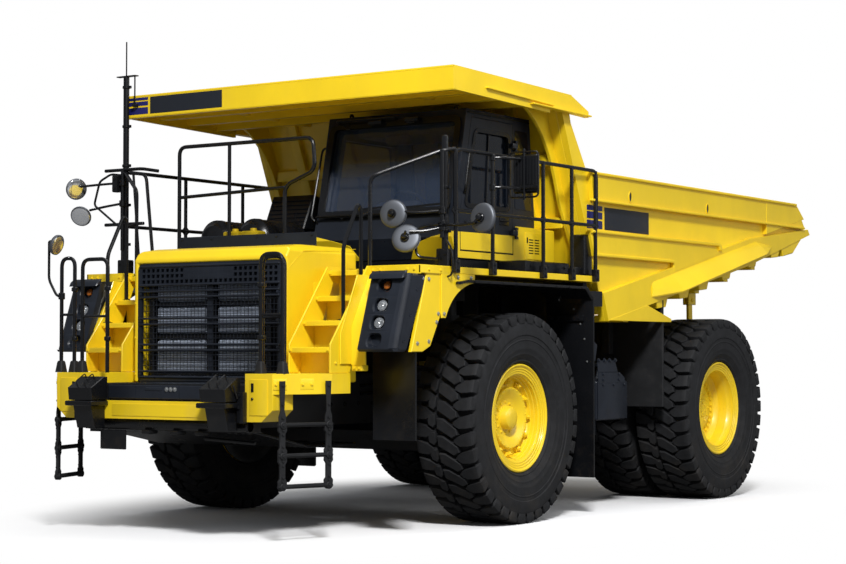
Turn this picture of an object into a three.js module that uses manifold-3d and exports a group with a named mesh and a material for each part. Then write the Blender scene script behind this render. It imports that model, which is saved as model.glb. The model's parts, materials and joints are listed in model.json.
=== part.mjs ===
// Rigid-frame mining dump truck, three.js scene graph. Millimetres, +Z up, the nose towards -Y,
// the truck's left side towards +X, the ground at Z = 0.
import * as THREE from "three";
import { mergeVertices } from "three/addons/utils/BufferGeometryUtils.js";
import Module from "manifold-3d";

const wasm = await Module();
wasm.setup();

// ---------------------------------------------------------------- driving dimensions
const GAP = 0.3; // left between two faces that touch
const MOVE = 6; // left between pieces that move past each other
const WALL = 60; // sheet-metal box walls, doors included

const WHEELBASE = 4300;
const TYRE_RADIUS = 1058;
const TYRE_WIDTH = 654;
const RIM_SEAT_RADIUS = 450;
const RIM_FLANGE_RADIUS = 540;
const FRONT_TRACK = 3515;
const REAR_TRACK = 3080;
const DUAL_SPACING = 766;
const KINGPIN_X = 1400;

const RAIL_INNER = 400; // half the clear width between the two frame rails
const RAIL_WIDTH = 160;
const RAIL_BOTTOM = 1000;
const RAIL_TOP = 1500;
const RAIL_REAR_LIFT = 400; // the rails' underside rises this much over the rear axle
const FRAME_REAR = 3300;

const BUMPER_FRONT = -5300;
const BUMPER_DEPTH = 300;
const BUMPER_TOP = 1525;
const BUMPER_BOX_INNER = 1010;
const BUMPER_BOX_OUTER = 1324;
const BUMPER_WING_X = 1530;
const BUMPER_WING_Y = -4687;

const HOOD_FRONT = -4620;
const HOOD_HALF = 950;
const HOOD_TOP = 2741;

const DECK_TOP = 2530;
const DECK_THICK = 65;
const DECK_HALF = 2100;
const DECK_FRONT = -3500;
const DECK_REAR = -700;

const CAB_LEFT = 1700;
const CAB_WIDTH = 1700;
const CAB_FLOOR = 2650;
const CAB_ROOF = 4157;

const BODY_HALF = 2100;
const BODY_FRONT_Y = -450;
const BODY_FLOOR_Z = 2054;
const FLOOR_SLOPE = 0.2018;
const TAIL_SLOPE = 0.248;
const TAIL_BREAK_Y = 3192;
const TAIL_TIP_Y = 5110;
const FRONT_WALL_LEAN = 0.4229; // forward run per unit of height
const BODY_RAIL_TOP = 3650;
const CANOPY_FRONT = -3530;
const CANOPY_TOP = 4455;
const CANOPY_LIP = 4222;
const BODY_PLATE = 60;

const PIVOT_Y = 3050;
const PIVOT_Z = 1900;
const HOIST_X = 690;
const HOIST_FOOT = [600, 950];
const HOIST_EYE = [1500, 2300];

const FRONT_AXLE_Y = -WHEELBASE / 2;
const REAR_AXLE_Y = WHEELBASE / 2;
const AXLE_Z = TYRE_RADIUS;
const RAIL_OUTER = RAIL_INNER + RAIL_WIDTH;
const SIDES = { left: 1, right: -1 };

// ---------------------------------------------------------------- finishes
const finish = (color, roughness, metalness) => () =>
  new THREE.MeshStandardMaterial({ color, roughness, metalness });
const yellow = finish(0xf5cf1e, 0.35, 0.0);
const charcoal = finish(0x2b3038, 0.5, 0.2);
const black = finish(0x15171a, 0.7, 0.1);
const rubber = finish(0x101112, 0.85, 0.0);
const glass = finish(0x2c3a52, 0.08, 0.0);
const steel = finish(0x8b9096, 0.4, 0.9);
const iron = finish(0x33363a, 0.6, 0.6);
const fabric = finish(0x26282c, 0.95, 0.0);

// ---------------------------------------------------------------- shapes
const X = new THREE.Vector3(1, 0, 0);
const Y = new THREE.Vector3(0, 1, 0);
const Z = new THREE.Vector3(0, 0, 1);

function shapeOf(points) {
  return new THREE.Shape(points.map(([a, b]) => new THREE.Vector2(a, b)));
}

function extrude(points, depth) {
  return new THREE.ExtrudeGeometry(shapeOf(points), { depth, bevelEnabled: false });
}

// A side view of (y, z) points carried across from x0 to x1.
function acrossX(points, x0, x1) {
  const lowest = Math.min(x0, x1);
  const turn = new THREE.Matrix4().makeBasis(Y, Z, X).setPosition(lowest, 0, 0);
  return extrude(points, Math.abs(x1 - x0)).applyMatrix4(turn);
}

// A plan of (x, y) points carried up from z0 to z1.
function upZ(points, z0, z1) {
  return extrude(points, z1 - z0).translate(0, 0, z0);
}

// A front view of (x, z) points carried back from y0 to y1.
function alongY(points, y0, y1) {
  const turn = new THREE.Matrix4().makeBasis(X, Z, Y.clone().negate()).setPosition(0, y1, 0);
  return extrude(points, y1 - y0).applyMatrix4(turn);
}

function box(x0, x1, y0, y1, z0, z1) {
  const low = [Math.min(x0, x1), Math.min(y0, y1), Math.min(z0, z1)];
  const high = [Math.max(x0, x1), Math.max(y0, y1), Math.max(z0, z1)];
  return new THREE.BoxGeometry(high[0] - low[0], high[1] - low[1], high[2] - low[2]).translate(
    (low[0] + high[0]) / 2,
    (low[1] + high[1]) / 2,
    (low[2] + high[2]) / 2,
  );
}

// A round bar from point a to point b.
function bar(a, b, radius, sides = 8) {
  const from = new THREE.Vector3(...a);
  const to = new THREE.Vector3(...b);
  const run = to.clone().sub(from);
  const turn = new THREE.Quaternion().setFromUnitVectors(Y, run.clone().normalize());
  return new THREE.CylinderGeometry(radius, radius, run.length(), sides)
    .applyQuaternion(turn)
    .translate(...from.add(to).multiplyScalar(0.5).toArray());
}

// A bent tube: one round bar per straight stretch, run a little past each bend.
function tube(points, radius, sides = 6) {
  const last = points.length - 2;
  return points.slice(1).map((p, i) => {
    const from = new THREE.Vector3(...points[i]);
    const to = new THREE.Vector3(...p);
    const reach = to.clone().sub(from).setLength(radius * 0.8);
    if (i > 0) from.sub(reach);
    if (i < last) to.add(reach);
    return bar(from.toArray(), to.toArray(), radius, sides);
  });
}

// A profile of (along, radius) points turned about an axis that runs outwards along side * X.
function turned(profile, side, centre, segments = 24) {
  const points = profile.map(([along, radius]) => new THREE.Vector2(radius, along));
  return new THREE.LatheGeometry(points, segments)
    .rotateZ((-side * Math.PI) / 2)
    .translate(...centre);
}

// ---------------------------------------------------------------- solids
function solid(geometry) {
  if (geometry.delete) return geometry;
  const bare = geometry.clone();
  bare.deleteAttribute("normal");
  bare.deleteAttribute("uv");
  const merged = mergeVertices(bare, 1e-3);
  const made = new wasm.Manifold(
    new wasm.Mesh({
      numProp: 3,
      vertProperties: merged.attributes.position.array,
      triVerts: new Uint32Array(merged.index.array),
    }),
  );
  return made;
}

function join(...pieces) {
  return pieces.flat(Infinity).map(solid).reduce((sum, piece) => sum.add(piece));
}

function cut(piece, ...tools) {
  return tools.flat(Infinity).map(solid).reduce((rest, tool) => rest.subtract(tool), solid(piece));
}

// The solid's facets, with its corners on a grid fine enough to keep every edge that matters.
const GRID = 0.01;

function geometryOf(made) {
  const mesh = made.getMesh();
  const places = mesh.vertProperties.map((value) => Math.round(value / GRID) * GRID);
  const corner = (i) => Array.from(places.subarray(3 * i, 3 * i + 3));
  const facets = [];
  for (let i = 0; i < mesh.triVerts.length; i += 3) {
    const [a, b, c] = [0, 1, 2].map((k) => corner(mesh.triVerts[i + k]));
    const collapsed = String(a) === String(b) || String(b) === String(c) || String(a) === String(c);
    if (!collapsed) facets.push(...a, ...b, ...c);
  }
  const geometry = new THREE.BufferGeometry();
  geometry.setAttribute("position", new THREE.Float32BufferAttribute(facets, 3));
  geometry.computeVertexNormals();
  return geometry;
}

const truck = new THREE.Group();

function part(name, shape, material) {
  const geometry = shape.delete ? geometryOf(shape) : shape;
  const mesh = new THREE.Mesh(geometry, material());
  mesh.name = name;
  truck.add(mesh);
  return mesh;
}

function forEachSide(build) {
  for (const [name, side] of Object.entries(SIDES)) build(name, side);
}

// ---------------------------------------------------------------- frame
const frameKick = REAR_AXLE_Y - 550; // where the rails have risen to pass over the rear axle
const frameTopRear = RAIL_TOP + 220;
const hoodBase = RAIL_TOP - 76;
const walkwayTop = hoodBase - GAP;
const bumperBeamTop = 1265;
const bumperBeamBottom = 1093;
const beamRear = BUMPER_FRONT + BUMPER_DEPTH;
const axleBeamTop = 900;
const towerZ = 2250;
const deckUnder = DECK_TOP - DECK_THICK;
const pinRadius = 60;
const hoistPinRadius = 50;
const shaftRadius = 65;

function frameRail(side) {
  const outline = [
    [beamRear + GAP, RAIL_BOTTOM],
    [frameKick - 700, RAIL_BOTTOM],
    [frameKick, RAIL_BOTTOM + RAIL_REAR_LIFT],
    [FRAME_REAR, RAIL_BOTTOM + RAIL_REAR_LIFT],
    [FRAME_REAR, frameTopRear],
    [PIVOT_Y + 110, PIVOT_Z + 90],
    [PIVOT_Y - 110, PIVOT_Z + 90],
    [PIVOT_Y - 180, frameTopRear],
    [frameKick - 300, frameTopRear],
    [frameKick - 1000, RAIL_TOP + 60],
    [FRONT_AXLE_Y, RAIL_TOP],
    [HOOD_FRONT + 41, RAIL_TOP],
    [HOOD_FRONT + 41, bumperBeamTop],
    [beamRear + GAP, bumperBeamTop],
  ];
  return acrossX(outline, side * RAIL_INNER, side * RAIL_OUTER);
}

function frameCrossMembers() {
  const half = RAIL_INNER + 20;
  return [
    box(-half, half, -4550, -4450, 1030, 1260),
    box(-half, half, -1650, -1500, 1300, 1490),
    box(-half, half, 800, 900, AXLE_Z + shaftRadius + 27, 1500),
    box(-half, half, FRAME_REAR - 150, FRAME_REAR - 20, 1430, 1690),
    box(-1000, 1000, BUMPER_FRONT + 60, beamRear - 60, 990, bumperBeamBottom - GAP),
    box(-RAIL_OUTER, RAIL_OUTER, beamRear - 80, beamRear + 200, 990, bumperBeamBottom - GAP),
  ];
}

// Beams under the deck, carried on posts from the rails.
function deckSupports(side) {
  const reach = side * (DECK_HALF - 110);
  const post = side * (RAIL_OUTER + 140);
  const inner = side * (RAIL_OUTER - 40);
  return [
    box(inner, post, -3460, -3320, RAIL_TOP - 60, deckUnder - GAP),
    box(inner, post, -900, -740, RAIL_TOP - 40, deckUnder - GAP),
    box(inner, reach, -3460, -3360, deckUnder - 70, deckUnder - GAP),
    box(inner, reach, -820, -740, deckUnder - 70, deckUnder - GAP),
    box(side * RAIL_INNER, side * 1250, -2300, -2000, towerZ, deckUnder - GAP),
    box(side * RAIL_INNER, post, -2290, -2160, RAIL_TOP - 60, towerZ + 10),
  ];
}

function frameBrackets(side) {
  const hoistOuter = side * (HOIST_X + 100);
  return [
    box(side * RAIL_INNER, side * (RAIL_OUTER + 24), 470, 720, HOIST_FOOT[1] - 110, RAIL_BOTTOM + 20),
    bar([side * (RAIL_OUTER - 20), ...HOIST_FOOT], [hoistOuter, ...HOIST_FOOT], hoistPinRadius, 16),
    bar([side * (RAIL_OUTER - 20), PIVOT_Y, PIVOT_Z], [side * 690, PIVOT_Y, PIVOT_Z], pinRadius, 24),
    box(side * (RAIL_OUTER - 20), side * 720, REAR_AXLE_Y + 130, REAR_AXLE_Y + 270, 1600, 1700),
  ];
}

part(
  "chassis_frame",
  join(
    frameRail(1),
    frameRail(-1),
    frameCrossMembers(),
    deckSupports(1),
    deckSupports(-1),
    frameBrackets(1),
    frameBrackets(-1),
  ),
  iron,
);

// ---------------------------------------------------------------- bumper, walkway and chocks
function bumperEnd(side) {
  const at = (x, y) => [side * x, y];
  const plan = [
    at(BUMPER_BOX_INNER, BUMPER_FRONT),
    at(BUMPER_BOX_OUTER, BUMPER_FRONT),
    at(BUMPER_WING_X, BUMPER_WING_Y),
    at(BUMPER_WING_X, -4400),
    at(BUMPER_BOX_INNER, -4400),
  ];
  const lower = [
    at(BUMPER_BOX_INNER, 1089),
    at(BUMPER_BOX_OUTER - 124, 1092),
    at(BUMPER_BOX_OUTER, 1198),
    at(BUMPER_BOX_OUTER, 1345),
    at(BUMPER_BOX_INNER, 1345),
  ];
  return [upZ(side > 0 ? plan : plan.reverse(), 1339, BUMPER_TOP), alongY(lower, BUMPER_FRONT, beamRear)];
}

part(
  "front_bumper",
  join(
    box(
      -BUMPER_BOX_INNER - 5,
      BUMPER_BOX_INNER + 5,
      BUMPER_FRONT,
      beamRear,
      bumperBeamBottom,
      bumperBeamTop,
    ),
    bumperEnd(1),
    bumperEnd(-1),
  ),
  yellow,
);

part(
  "bumper_walkway",
  box(
    -BUMPER_BOX_INNER + GAP,
    BUMPER_BOX_INNER - GAP,
    BUMPER_FRONT,
    HOOD_FRONT + 41 - GAP,
    bumperBeamTop + GAP,
    walkwayTop,
  ),
  black,
);

// A wedge chock in a bracket bolted to the bumper's face.
function chock(side) {
  const middle = side * 811;
  const half = 150;
  const face = BUMPER_FRONT - GAP;
  const wedge = [
    [face - 20, 1180],
    [face - 20, 1420],
    [face - 120, 1420],
    [face - 225, 1230],
    [face - 225, 1180],
  ];
  return join(
    box(middle - half, middle + half, face - 30, face, 1100, 1420),
    box(middle - half, middle + half, face - 240, face, 1150, 1185),
    acrossX(wedge, middle - half + 25, middle + half - 25),
  );
}

forEachSide((name, side) => part(`wheel_chock_${name}`, chock(side), black));

// ---------------------------------------------------------------- hood, grille and driveline
const hoodRear = DECK_FRONT - GAP;
const grilleTop = 2625;
const grilleHalf = 900;

function hood() {
  const outer = [
    [-HOOD_HALF, hoodBase],
    [HOOD_HALF, hoodBase],
    [HOOD_HALF, HOOD_TOP - 60],
    [HOOD_HALF - 70, HOOD_TOP],
    [-HOOD_HALF + 70, HOOD_TOP],
    [-HOOD_HALF, HOOD_TOP - 60],
  ];
  const side = [
    [HOOD_FRONT, hoodBase],
    [hoodRear, hoodBase],
    [hoodRear, HOOD_TOP + 60],
    [HOOD_FRONT + 260, HOOD_TOP],
    [HOOD_FRONT + 60, HOOD_TOP - 30],
    [HOOD_FRONT, grilleTop],
  ];
  const shell = solid(alongY(outer, HOOD_FRONT, hoodRear)).intersect(
    solid(acrossX(side, -HOOD_HALF - 5, HOOD_HALF + 5)),
  );
  const inside = box(-grilleHalf, grilleHalf, HOOD_FRONT + 40, hoodRear + 1, hoodBase - 1, 2660);
  const opening = box(
    -grilleHalf,
    grilleHalf,
    HOOD_FRONT - 1,
    HOOD_FRONT + 60,
    hoodBase - 1,
    grilleTop - 40,
  );
  return cut(shell, inside, opening);
}

part("hood", hood(), yellow);

function grille() {
  const half = grilleHalf - GAP;
  const top = grilleTop - 40 - GAP;
  const low = hoodBase;
  const face = (z0, z1, x0 = -half, x1 = half) =>
    box(x0, x1, HOOD_FRONT + 5, HOOD_FRONT + 35, z0, z1);
  const bars = [0, 1, 2, 3].map((i) => face(low + 130 + i * 240, low + 185 + i * 240));
  return join(
    face(low, low + 60),
    face(top - 170, top),
    face(low, top, -half, -half + 50),
    face(low, top, half - 50, half),
    face(low, top, -25, 25),
    bars,
  );
}

part("radiator_grille", grille(), charcoal);
part("radiator", box(-850, 850, -4560, -4400, RAIL_TOP + GAP, 2600), steel);
part(
  "engine_and_driveline",
  join(
    box(-RAIL_INNER + GAP, RAIL_INNER - GAP, -4150, -2350, 1100, 2350),
    bar([0, -2360, 1180], [0, -1390, 1180], shaftRadius, 12),
    box(-RAIL_INNER + GAP, RAIL_INNER - GAP, -1400, -300, 900, 1290),
    bar([0, -310, AXLE_Z], [0, REAR_AXLE_Y - 420 - GAP, AXLE_Z], shaftRadius, 12),
  ),
  iron,
);

// ---------------------------------------------------------------- stairs and ladders
const stairInner = 1031;
const stairOuter = 1520;
const landingY = -4077;
const stairSteps = [
  [-4690, BUMPER_TOP + GAP, 1759],
  [-4478, 1759, 2008],
  [-4282, 2008, 2242],
  [landingY, 2242, 2490],
];

function stair(side) {
  const x0 = side * (stairInner + 15);
  const x1 = side * (stairOuter - 15);
  const treads = stairSteps.map(([y, low, high]) => box(x0, x1, y, y + 260, low, high));
  const stringer = [
    [-4600, BUMPER_TOP + GAP],
    [landingY + 87, 2395],
    [hoodRear, 2395],
    [hoodRear, 2330],
    [landingY + 120, 2330],
    [-4400, BUMPER_TOP + GAP],
  ];
  const landing = box(x0, x1, landingY, hoodRear, 2390, 2490);
  const flight = join(treads, landing, acrossX(stringer, x0, x1));
  const cheek = [
    [-4700, BUMPER_TOP + GAP],
    [-4700, 1800],
    [landingY - 20, DECK_TOP],
    [hoodRear, DECK_TOP],
    [hoodRear, 2380],
    [landingY + 60, 2380],
    [-4400, BUMPER_TOP + GAP],
  ];
  return join(
    flight,
    acrossX(cheek, side * stairInner, side * (stairInner + 20)),
    acrossX(cheek, side * (stairOuter - 20), side * stairOuter),
  );
}

forEachSide((name, side) => part(`stair_${name}`, stair(side), yellow));

// Two hanging rails with rungs, parallel to the bumper's swept side.
function boardingLadder(side) {
  const run = new THREE.Vector2(BUMPER_WING_X - BUMPER_BOX_OUTER, BUMPER_WING_Y - BUMPER_FRONT).normalize();
  const out = new THREE.Vector2(-run.y, run.x).multiplyScalar(-1);
  const at = (along, off, z) => [
    side * (BUMPER_BOX_OUTER + run.x * along + out.x * off),
    BUMPER_FRONT + run.y * along + out.y * off,
    z,
  ];
  const off = 24.5;
  const ends = [90, 590];
  const rails = ends.map((along) => bar(at(along, off, 500), at(along, off, 1500), 25.5, 8));
  const rungs = [515, 790, 1065].map((z) => bar(at(ends[0] - 20, off, z), at(ends[1] + 20, off, z), 20, 6));
  return join(rails, rungs);
}

forEachSide((name, side) => part(`boarding_ladder_${name}`, boardingLadder(side), black));

// ---------------------------------------------------------------- deck, fenders, lamps and arches
part("deck", box(-DECK_HALF, DECK_HALF, DECK_FRONT, DECK_REAR, deckUnder, DECK_TOP), yellow);

const fenderOuter = DECK_HALF - 15;
const fenderInner = stairOuter + 30;
const lampFront = -4400;
const lampBack = -4090;

function fender(side) {
  const cheek = [
    [lampFront, 1720],
    [-4020, 1720],
    [-3900, 1760],
    [-3740, 2040],
    [-3600, 2330],
    [hoodRear, 2400],
    [hoodRear, DECK_TOP],
    [lampFront, DECK_TOP],
  ];
  const inner = side * (stairOuter + GAP);
  return join(
    acrossX(cheek, side * (fenderOuter - 40), side * fenderOuter),
    box(inner, side * fenderOuter, lampFront, hoodRear, 2450, DECK_TOP),
  );
}

forEachSide((name, side) => part(`fender_${name}`, fender(side), yellow));

function headlamp(side) {
  const lampX = side * (fenderInner + 330);
  const housing = box(
    side * (fenderInner + 150),
    side * (fenderOuter - 40 - GAP),
    lampFront - 20,
    lampBack,
    1720,
    2450 - GAP,
  );
  const bowls = [1830, 1990, 2150, 2310].map((z) => bar([lampX, lampFront - 40, z], [lampX, lampFront + 30, z], 70, 12));
  return cut(housing, bowls);
}

forEachSide((name, side) => part(`headlamp_${name}`, headlamp(side), charcoal));

// The black liner over a front wheel, with the mud panel ahead of it and the flap behind it.
function wheelArch(side) {
  const thick = 22;
  const liner = [
    [-4060, 2440],
    [-3500, deckUnder - 110],
    [-3300, deckUnder - 75],
    [-1000, deckUnder - 75],
    [-862, 2290],
    [-862, 395],
    [-840, 395],
    [-840, 2300],
    [-990, deckUnder - 75 + thick],
    [-3310, deckUnder - 75 + thick],
    [-3495, deckUnder - 85],
  ];
  const x0 = side * (stairOuter + 40);
  const x1 = side * (fenderOuter - 45);
  const mud = box(x0, x1, -4086, -4060, 900, 2449);
  return cut(
    join(
      acrossX(liner, x0, side * (DECK_HALF + 37)),
      mud,
      box(x0, x1, -4086, -4050, 2400, 2449),
      box(side * (DECK_HALF - 300), side * DECK_HALF, -843, -600, 2207, 2370),
    ),
    box(side * (fenderOuter - 45), side * (DECK_HALF + 50), -4200, hoodRear + 40, 1600, 2600),
    box(side * 1500, side * (DECK_HALF - 110 + GAP), -3460 - GAP, -3360 + GAP, deckUnder - 70 - GAP, deckUnder),
    box(side * 1500, side * (DECK_HALF - 110 + GAP), -820 - GAP, -740 + GAP, deckUnder - 70 - GAP, deckUnder),
  );
}

forEachSide((name, side) => part(`wheel_arch_${name}`, wheelArch(side), black));

// ---------------------------------------------------------------- cab
const cabRight = CAB_LEFT - CAB_WIDTH;
const cabFloorUnder = CAB_FLOOR + GAP;
const doorTop = CAB_ROOF - 75;
const doorLow = CAB_FLOOR + 75;
const doorRear = -1785;
const windscreenFoot = [-2890, 3100];
const windscreenHead = [-2650, 4070];
const cabRear = -1350;

const cabOutline = [
  [windscreenFoot[0] + 40, cabFloorUnder],
  [windscreenFoot[0] - 70, CAB_FLOOR + 210],
  windscreenFoot,
  [windscreenHead[0] - 20, CAB_ROOF],
  [cabRear - 100, CAB_ROOF],
  [cabRear, 3160],
  [cabRear, cabFloorUnder],
];
const cabInside = [
  [windscreenFoot[0] + 110, CAB_FLOOR + WALL],
  [windscreenFoot[0] + 10, CAB_FLOOR + 230],
  [windscreenFoot[0] + WALL + 10, 3110],
  [windscreenHead[0] + 55, CAB_ROOF - 70],
  [cabRear - 100 - WALL, CAB_ROOF - 70],
  [cabRear - WALL, 3160],
  [cabRear - WALL, CAB_FLOOR + WALL],
];
const doorOutline = [
  [-2790, doorLow],
  [-2800, 3090],
  [-2580, doorTop],
  [doorRear, doorTop],
  [doorRear, doorLow],
];
const windowOutline = [
  [-2690, 3190],
  [-2505, 3950],
  [doorRear - 80, 3950],
  [doorRear - 80, 3190],
];

// The same outline moved in by an even distance on every side, for convex outlines.
function inset(points, distance) {
  const count = points.length;
  const area = points.reduce((sum, [a, b], i) => {
    const [c, d] = points[(i + 1) % count];
    return sum + a * d - b * c;
  }, 0);
  const turn = Math.sign(area);
  const lines = points.map(([a, b], i) => {
    const [c, d] = points[(i + 1) % count];
    const length = Math.hypot(c - a, d - b);
    const normal = [(-(d - b) / length) * turn, ((c - a) / length) * turn];
    return { normal, reach: normal[0] * a + normal[1] * b + distance };
  });
  return lines.map((line, i) => {
    const before = lines[(i + count - 1) % count];
    const det = before.normal[0] * line.normal[1] - before.normal[1] * line.normal[0];
    return [
      (before.reach * line.normal[1] - line.reach * before.normal[1]) / det,
      (line.reach * before.normal[0] - before.reach * line.normal[0]) / det,
    ];
  });
}

// The windscreen and rear window lie in the sloping end walls, given by two (y, z) points.
function paneOpening(foot, head, x0, x1, depth) {
  const run = new THREE.Vector2(head[0] - foot[0], head[1] - foot[1]).normalize();
  const normal = [run.y * depth, -run.x * depth];
  const outline = [
    [foot[0] - normal[0], foot[1] - normal[1]],
    [head[0] - normal[0], head[1] - normal[1]],
    [head[0] + normal[0], head[1] + normal[1]],
    [foot[0] + normal[0], foot[1] + normal[1]],
  ];
  return acrossX(outline, x0, x1);
}

const between = (a, b, t) => [a[0] + (b[0] - a[0]) * t, a[1] + (b[1] - a[1]) * t];
const screenLow = between(windscreenFoot, windscreenHead, 0.03);
const screenHigh = between(windscreenFoot, windscreenHead, 0.97);
const rearPaneLow = [cabRear, 3220];
const rearPaneHigh = [cabRear - 88, 4010];
const rightPane = [
  [-2700, 3190],
  [-2530, 3950],
  [-1560, 3950],
  [-1500, 3190],
];
const hingeX = CAB_LEFT + 22;
const hingeY = doorRear + 30;
const hingeHeights = [2950, 3850];
const hingePin = 12;

function cabShell() {
  const shell = cut(
    acrossX(cabOutline, cabRight, CAB_LEFT),
    acrossX(cabInside, cabRight + WALL, CAB_LEFT - WALL),
    acrossX(doorOutline, CAB_LEFT - WALL - 5, CAB_LEFT + 5),
    acrossX(rightPane, cabRight - 5, cabRight + WALL + 5),
    paneOpening(screenLow, screenHigh, cabRight + 80, CAB_LEFT - 80, 90),
    paneOpening(rearPaneLow, rearPaneHigh, cabRight + 200, CAB_LEFT - 200, 90),
  );
  const hinges = hingeHeights.flatMap((z) => [
    bar([hingeX, hingeY, z - 60], [hingeX, hingeY, z + 60], hingePin, 12),
    box(CAB_LEFT - 10, hingeX, hingeY, hingeY + 50, z - 60, z - 32),
    box(CAB_LEFT - 10, hingeX, hingeY, hingeY + 50, z + 32, z + 60),
  ]);
  return join(shell, hinges);
}

part("cab_shell", cabShell(), charcoal);

function cabDoor() {
  const leaf = cut(
    acrossX(inset(doorOutline, MOVE), CAB_LEFT - WALL, CAB_LEFT),
    acrossX(windowOutline, CAB_LEFT - WALL - 5, CAB_LEFT + 5),
  );
  const lugs = hingeHeights.flatMap((z) => [
    box(CAB_LEFT - 20, hingeX + 20, doorRear - 60, hingeY, z - 25, z + 25),
    bar([hingeX, hingeY, z - 25], [hingeX, hingeY, z + 25], 22, 12),
  ]);
  const bores = hingeHeights.map((z) =>
    bar([hingeX, hingeY, z - 70], [hingeX, hingeY, z + 70], (hingePin + 0.4) / Math.cos(Math.PI / 12), 12),
  );
  const clearance = hingeHeights.map((z) =>
    box(CAB_LEFT - WALL - 5, CAB_LEFT + 0.8, doorRear - MOVE + 0.01, hingeY + 60, z - 40, z + 40),
  );
  return cut(join(leaf, cut(join(...lugs.map(solid)), clearance)), bores);
}

part("cab_door", cabDoor(), charcoal);
part(
  "door_window",
  acrossX(inset(windowOutline, GAP), CAB_LEFT - 40, CAB_LEFT - 30),
  glass,
);

function pane(foot, head, x0, x1, depthIn, thick) {
  const low = between(foot, head, 0.0005);
  const high = between(foot, head, 0.9995);
  const run = new THREE.Vector2(head[0] - foot[0], head[1] - foot[1]).normalize();
  const shift = (p, d) => [p[0] + run.y * d, p[1] - run.x * d];
  const outline = [shift(low, depthIn), shift(high, depthIn), shift(high, depthIn + thick), shift(low, depthIn + thick)];
  return acrossX(outline, x0, x1);
}

part("windscreen", pane(screenLow, screenHigh, cabRight + 80 + GAP, CAB_LEFT - 80 - GAP, 20, 10), glass);
part(
  "cab_base",
  box(cabRight + 20, CAB_LEFT - 20, windscreenFoot[0] + 50, cabRear, DECK_TOP + GAP, CAB_FLOOR),
  black,
);
part(
  "cab_rear_box",
  box(cabRight + 60, CAB_LEFT, cabRear + GAP, -915, DECK_TOP + GAP, 3020),
  yellow,
);

const cabFloorTop = CAB_FLOOR + WALL;
const seatX = (CAB_LEFT + cabRight) / 2;

part(
  "operator_seat",
  join(
    box(seatX - 180, seatX + 180, -2150, -1850, cabFloorTop + GAP, 2960),
    box(seatX - 260, seatX + 260, -2230, -1760, 2950, 3090),
    acrossX(
      [
        [-1800, 3080],
        [-1760, 3700],
        [-1650, 3700],
        [-1690, 3080],
      ],
      seatX - 250,
      seatX + 250,
    ),
    box(seatX - 140, seatX + 140, -1755, -1665, 3690, 3880),
  ),
  fabric,
);

part(
  "dashboard",
  join(
    box(seatX - 600, seatX + 600, -2760, -2560, cabFloorTop + GAP, 3140),
    bar([seatX, -2580, 3060], [seatX, -2420, 3230], 35, 8),
    bar([seatX, -2420, 3230], [seatX, -2402, 3249], 220, 16),
  ),
  fabric,
);

// ---------------------------------------------------------------- rails, mirrors and mast
const railRadius = 20;
const railX = DECK_HALF + railRadius + GAP;
const railTop = 3650;
const railMiddle = 3065;
const railFoot = deckUnder + 10;

function deckRail(side, stretches) {
  const pieces = [];
  for (const [y0, y1, posts] of stretches) {
    for (const z of [railMiddle, railTop]) pieces.push(tube([[side * railX, y0, z], [side * railX, y1, z]], railRadius));
    for (const y of posts) pieces.push(bar([side * railX, y, railFoot], [side * railX, y, railTop], railRadius, 6));
  }
  return pieces;
}

// A handrail loop that stands on the stair's treads, and the landing's post with its top rail.
function stairHandrail(side) {
  const x = side * (stairOuter - 45);
  return [
    tube(
      [
        [x, -4440, 2008 + GAP],
        [x, -4440, 2700],
        [x, -4210, 3110],
        [x, -4160, 3060],
        [x, -4160, 2242 + GAP],
      ],
      railRadius,
    ),
    tube(
      [
        [x, -4012, 2490 + GAP],
        [x, -4012, 3380],
        [side * mastX, mastY, railTop - 10],
        [side * railX, -3520, railTop],
      ],
      railRadius,
    ),
    bar([x, -4160, 3000], [x, -4012, 3040], 14, 6),
  ];
}

const mastX = 2032;
const mastY = DECK_FRONT - 71;
const mastRadius = 32;

function mast(side, top) {
  return bar([side * mastX, mastY, DECK_TOP + GAP], [side * mastX, mastY, top], mastRadius, 8);
}

part(
  "railing_left",
  join(
    deckRail(1, [[-3530, -760, [-3520, -2857, -1880, -1290, -780]]]),
    stairHandrail(1),
    mast(1, 3780),
    box(railX + 30, railX + 350, -2560, -2510, 3263, 3690),
    [3330, 3620].map((z) => bar([railX, -2857, z], [railX + 150, -2540, z], 14, 6)),
  ),
  black,
);

const frontRailZ = 3870;
part(
  "railing_right",
  join(
    deckRail(-1, [[-3530, -760, [-3520, -2500, -1500, -780]]]),
    stairHandrail(-1),
    tube(
      [
        [-railX, -3483, railTop + 3],
        [-1366, -3480, frontRailZ],
        [397, -3480, frontRailZ],
      ],
      railRadius + 1,
    ),
    tube(
      [
        [394, -3480, frontRailZ + 2],
        [420, -3480, 3540],
        [40, -3480, 3400],
        [40, -3480, DECK_TOP + GAP],
      ],
      railRadius,
    ),
    [-1360, -683].map((x) => bar([x, -3480, DECK_TOP + GAP], [x, -3480, frontRailZ], railRadius - 1, 6)),
    mast(-1, 4664),
    bar([-mastX, mastY, 4600], [-mastX, mastY, 5035], 8, 6),
  ),
  black,
);

// Mirrors on arms from an upright clamped to the mast: round ones by radius, flat ones by half size.
function mirrors(side, arms) {
  const y = mastY - mastRadius - 20 - GAP;
  const x = side * mastX;
  const pieces = [bar([x, y, 2800], [x, y, 3640], 20, 8)];
  for (const { from, to, radius, half } of arms) {
    const [mx, my, mz] = [side * to[0], to[1], to[2]];
    pieces.push(bar([x, y, from], [mx, my, mz], 14, 6));
    if (half) pieces.push(box(mx - half[0], mx + half[0], my - 25, my + 25, mz - half[1], mz + half[1]));
    else pieces.push(bar([mx, my - 20, mz], [mx, my + 30, mz], radius, 12));
  }
  return join(pieces);
}

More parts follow.
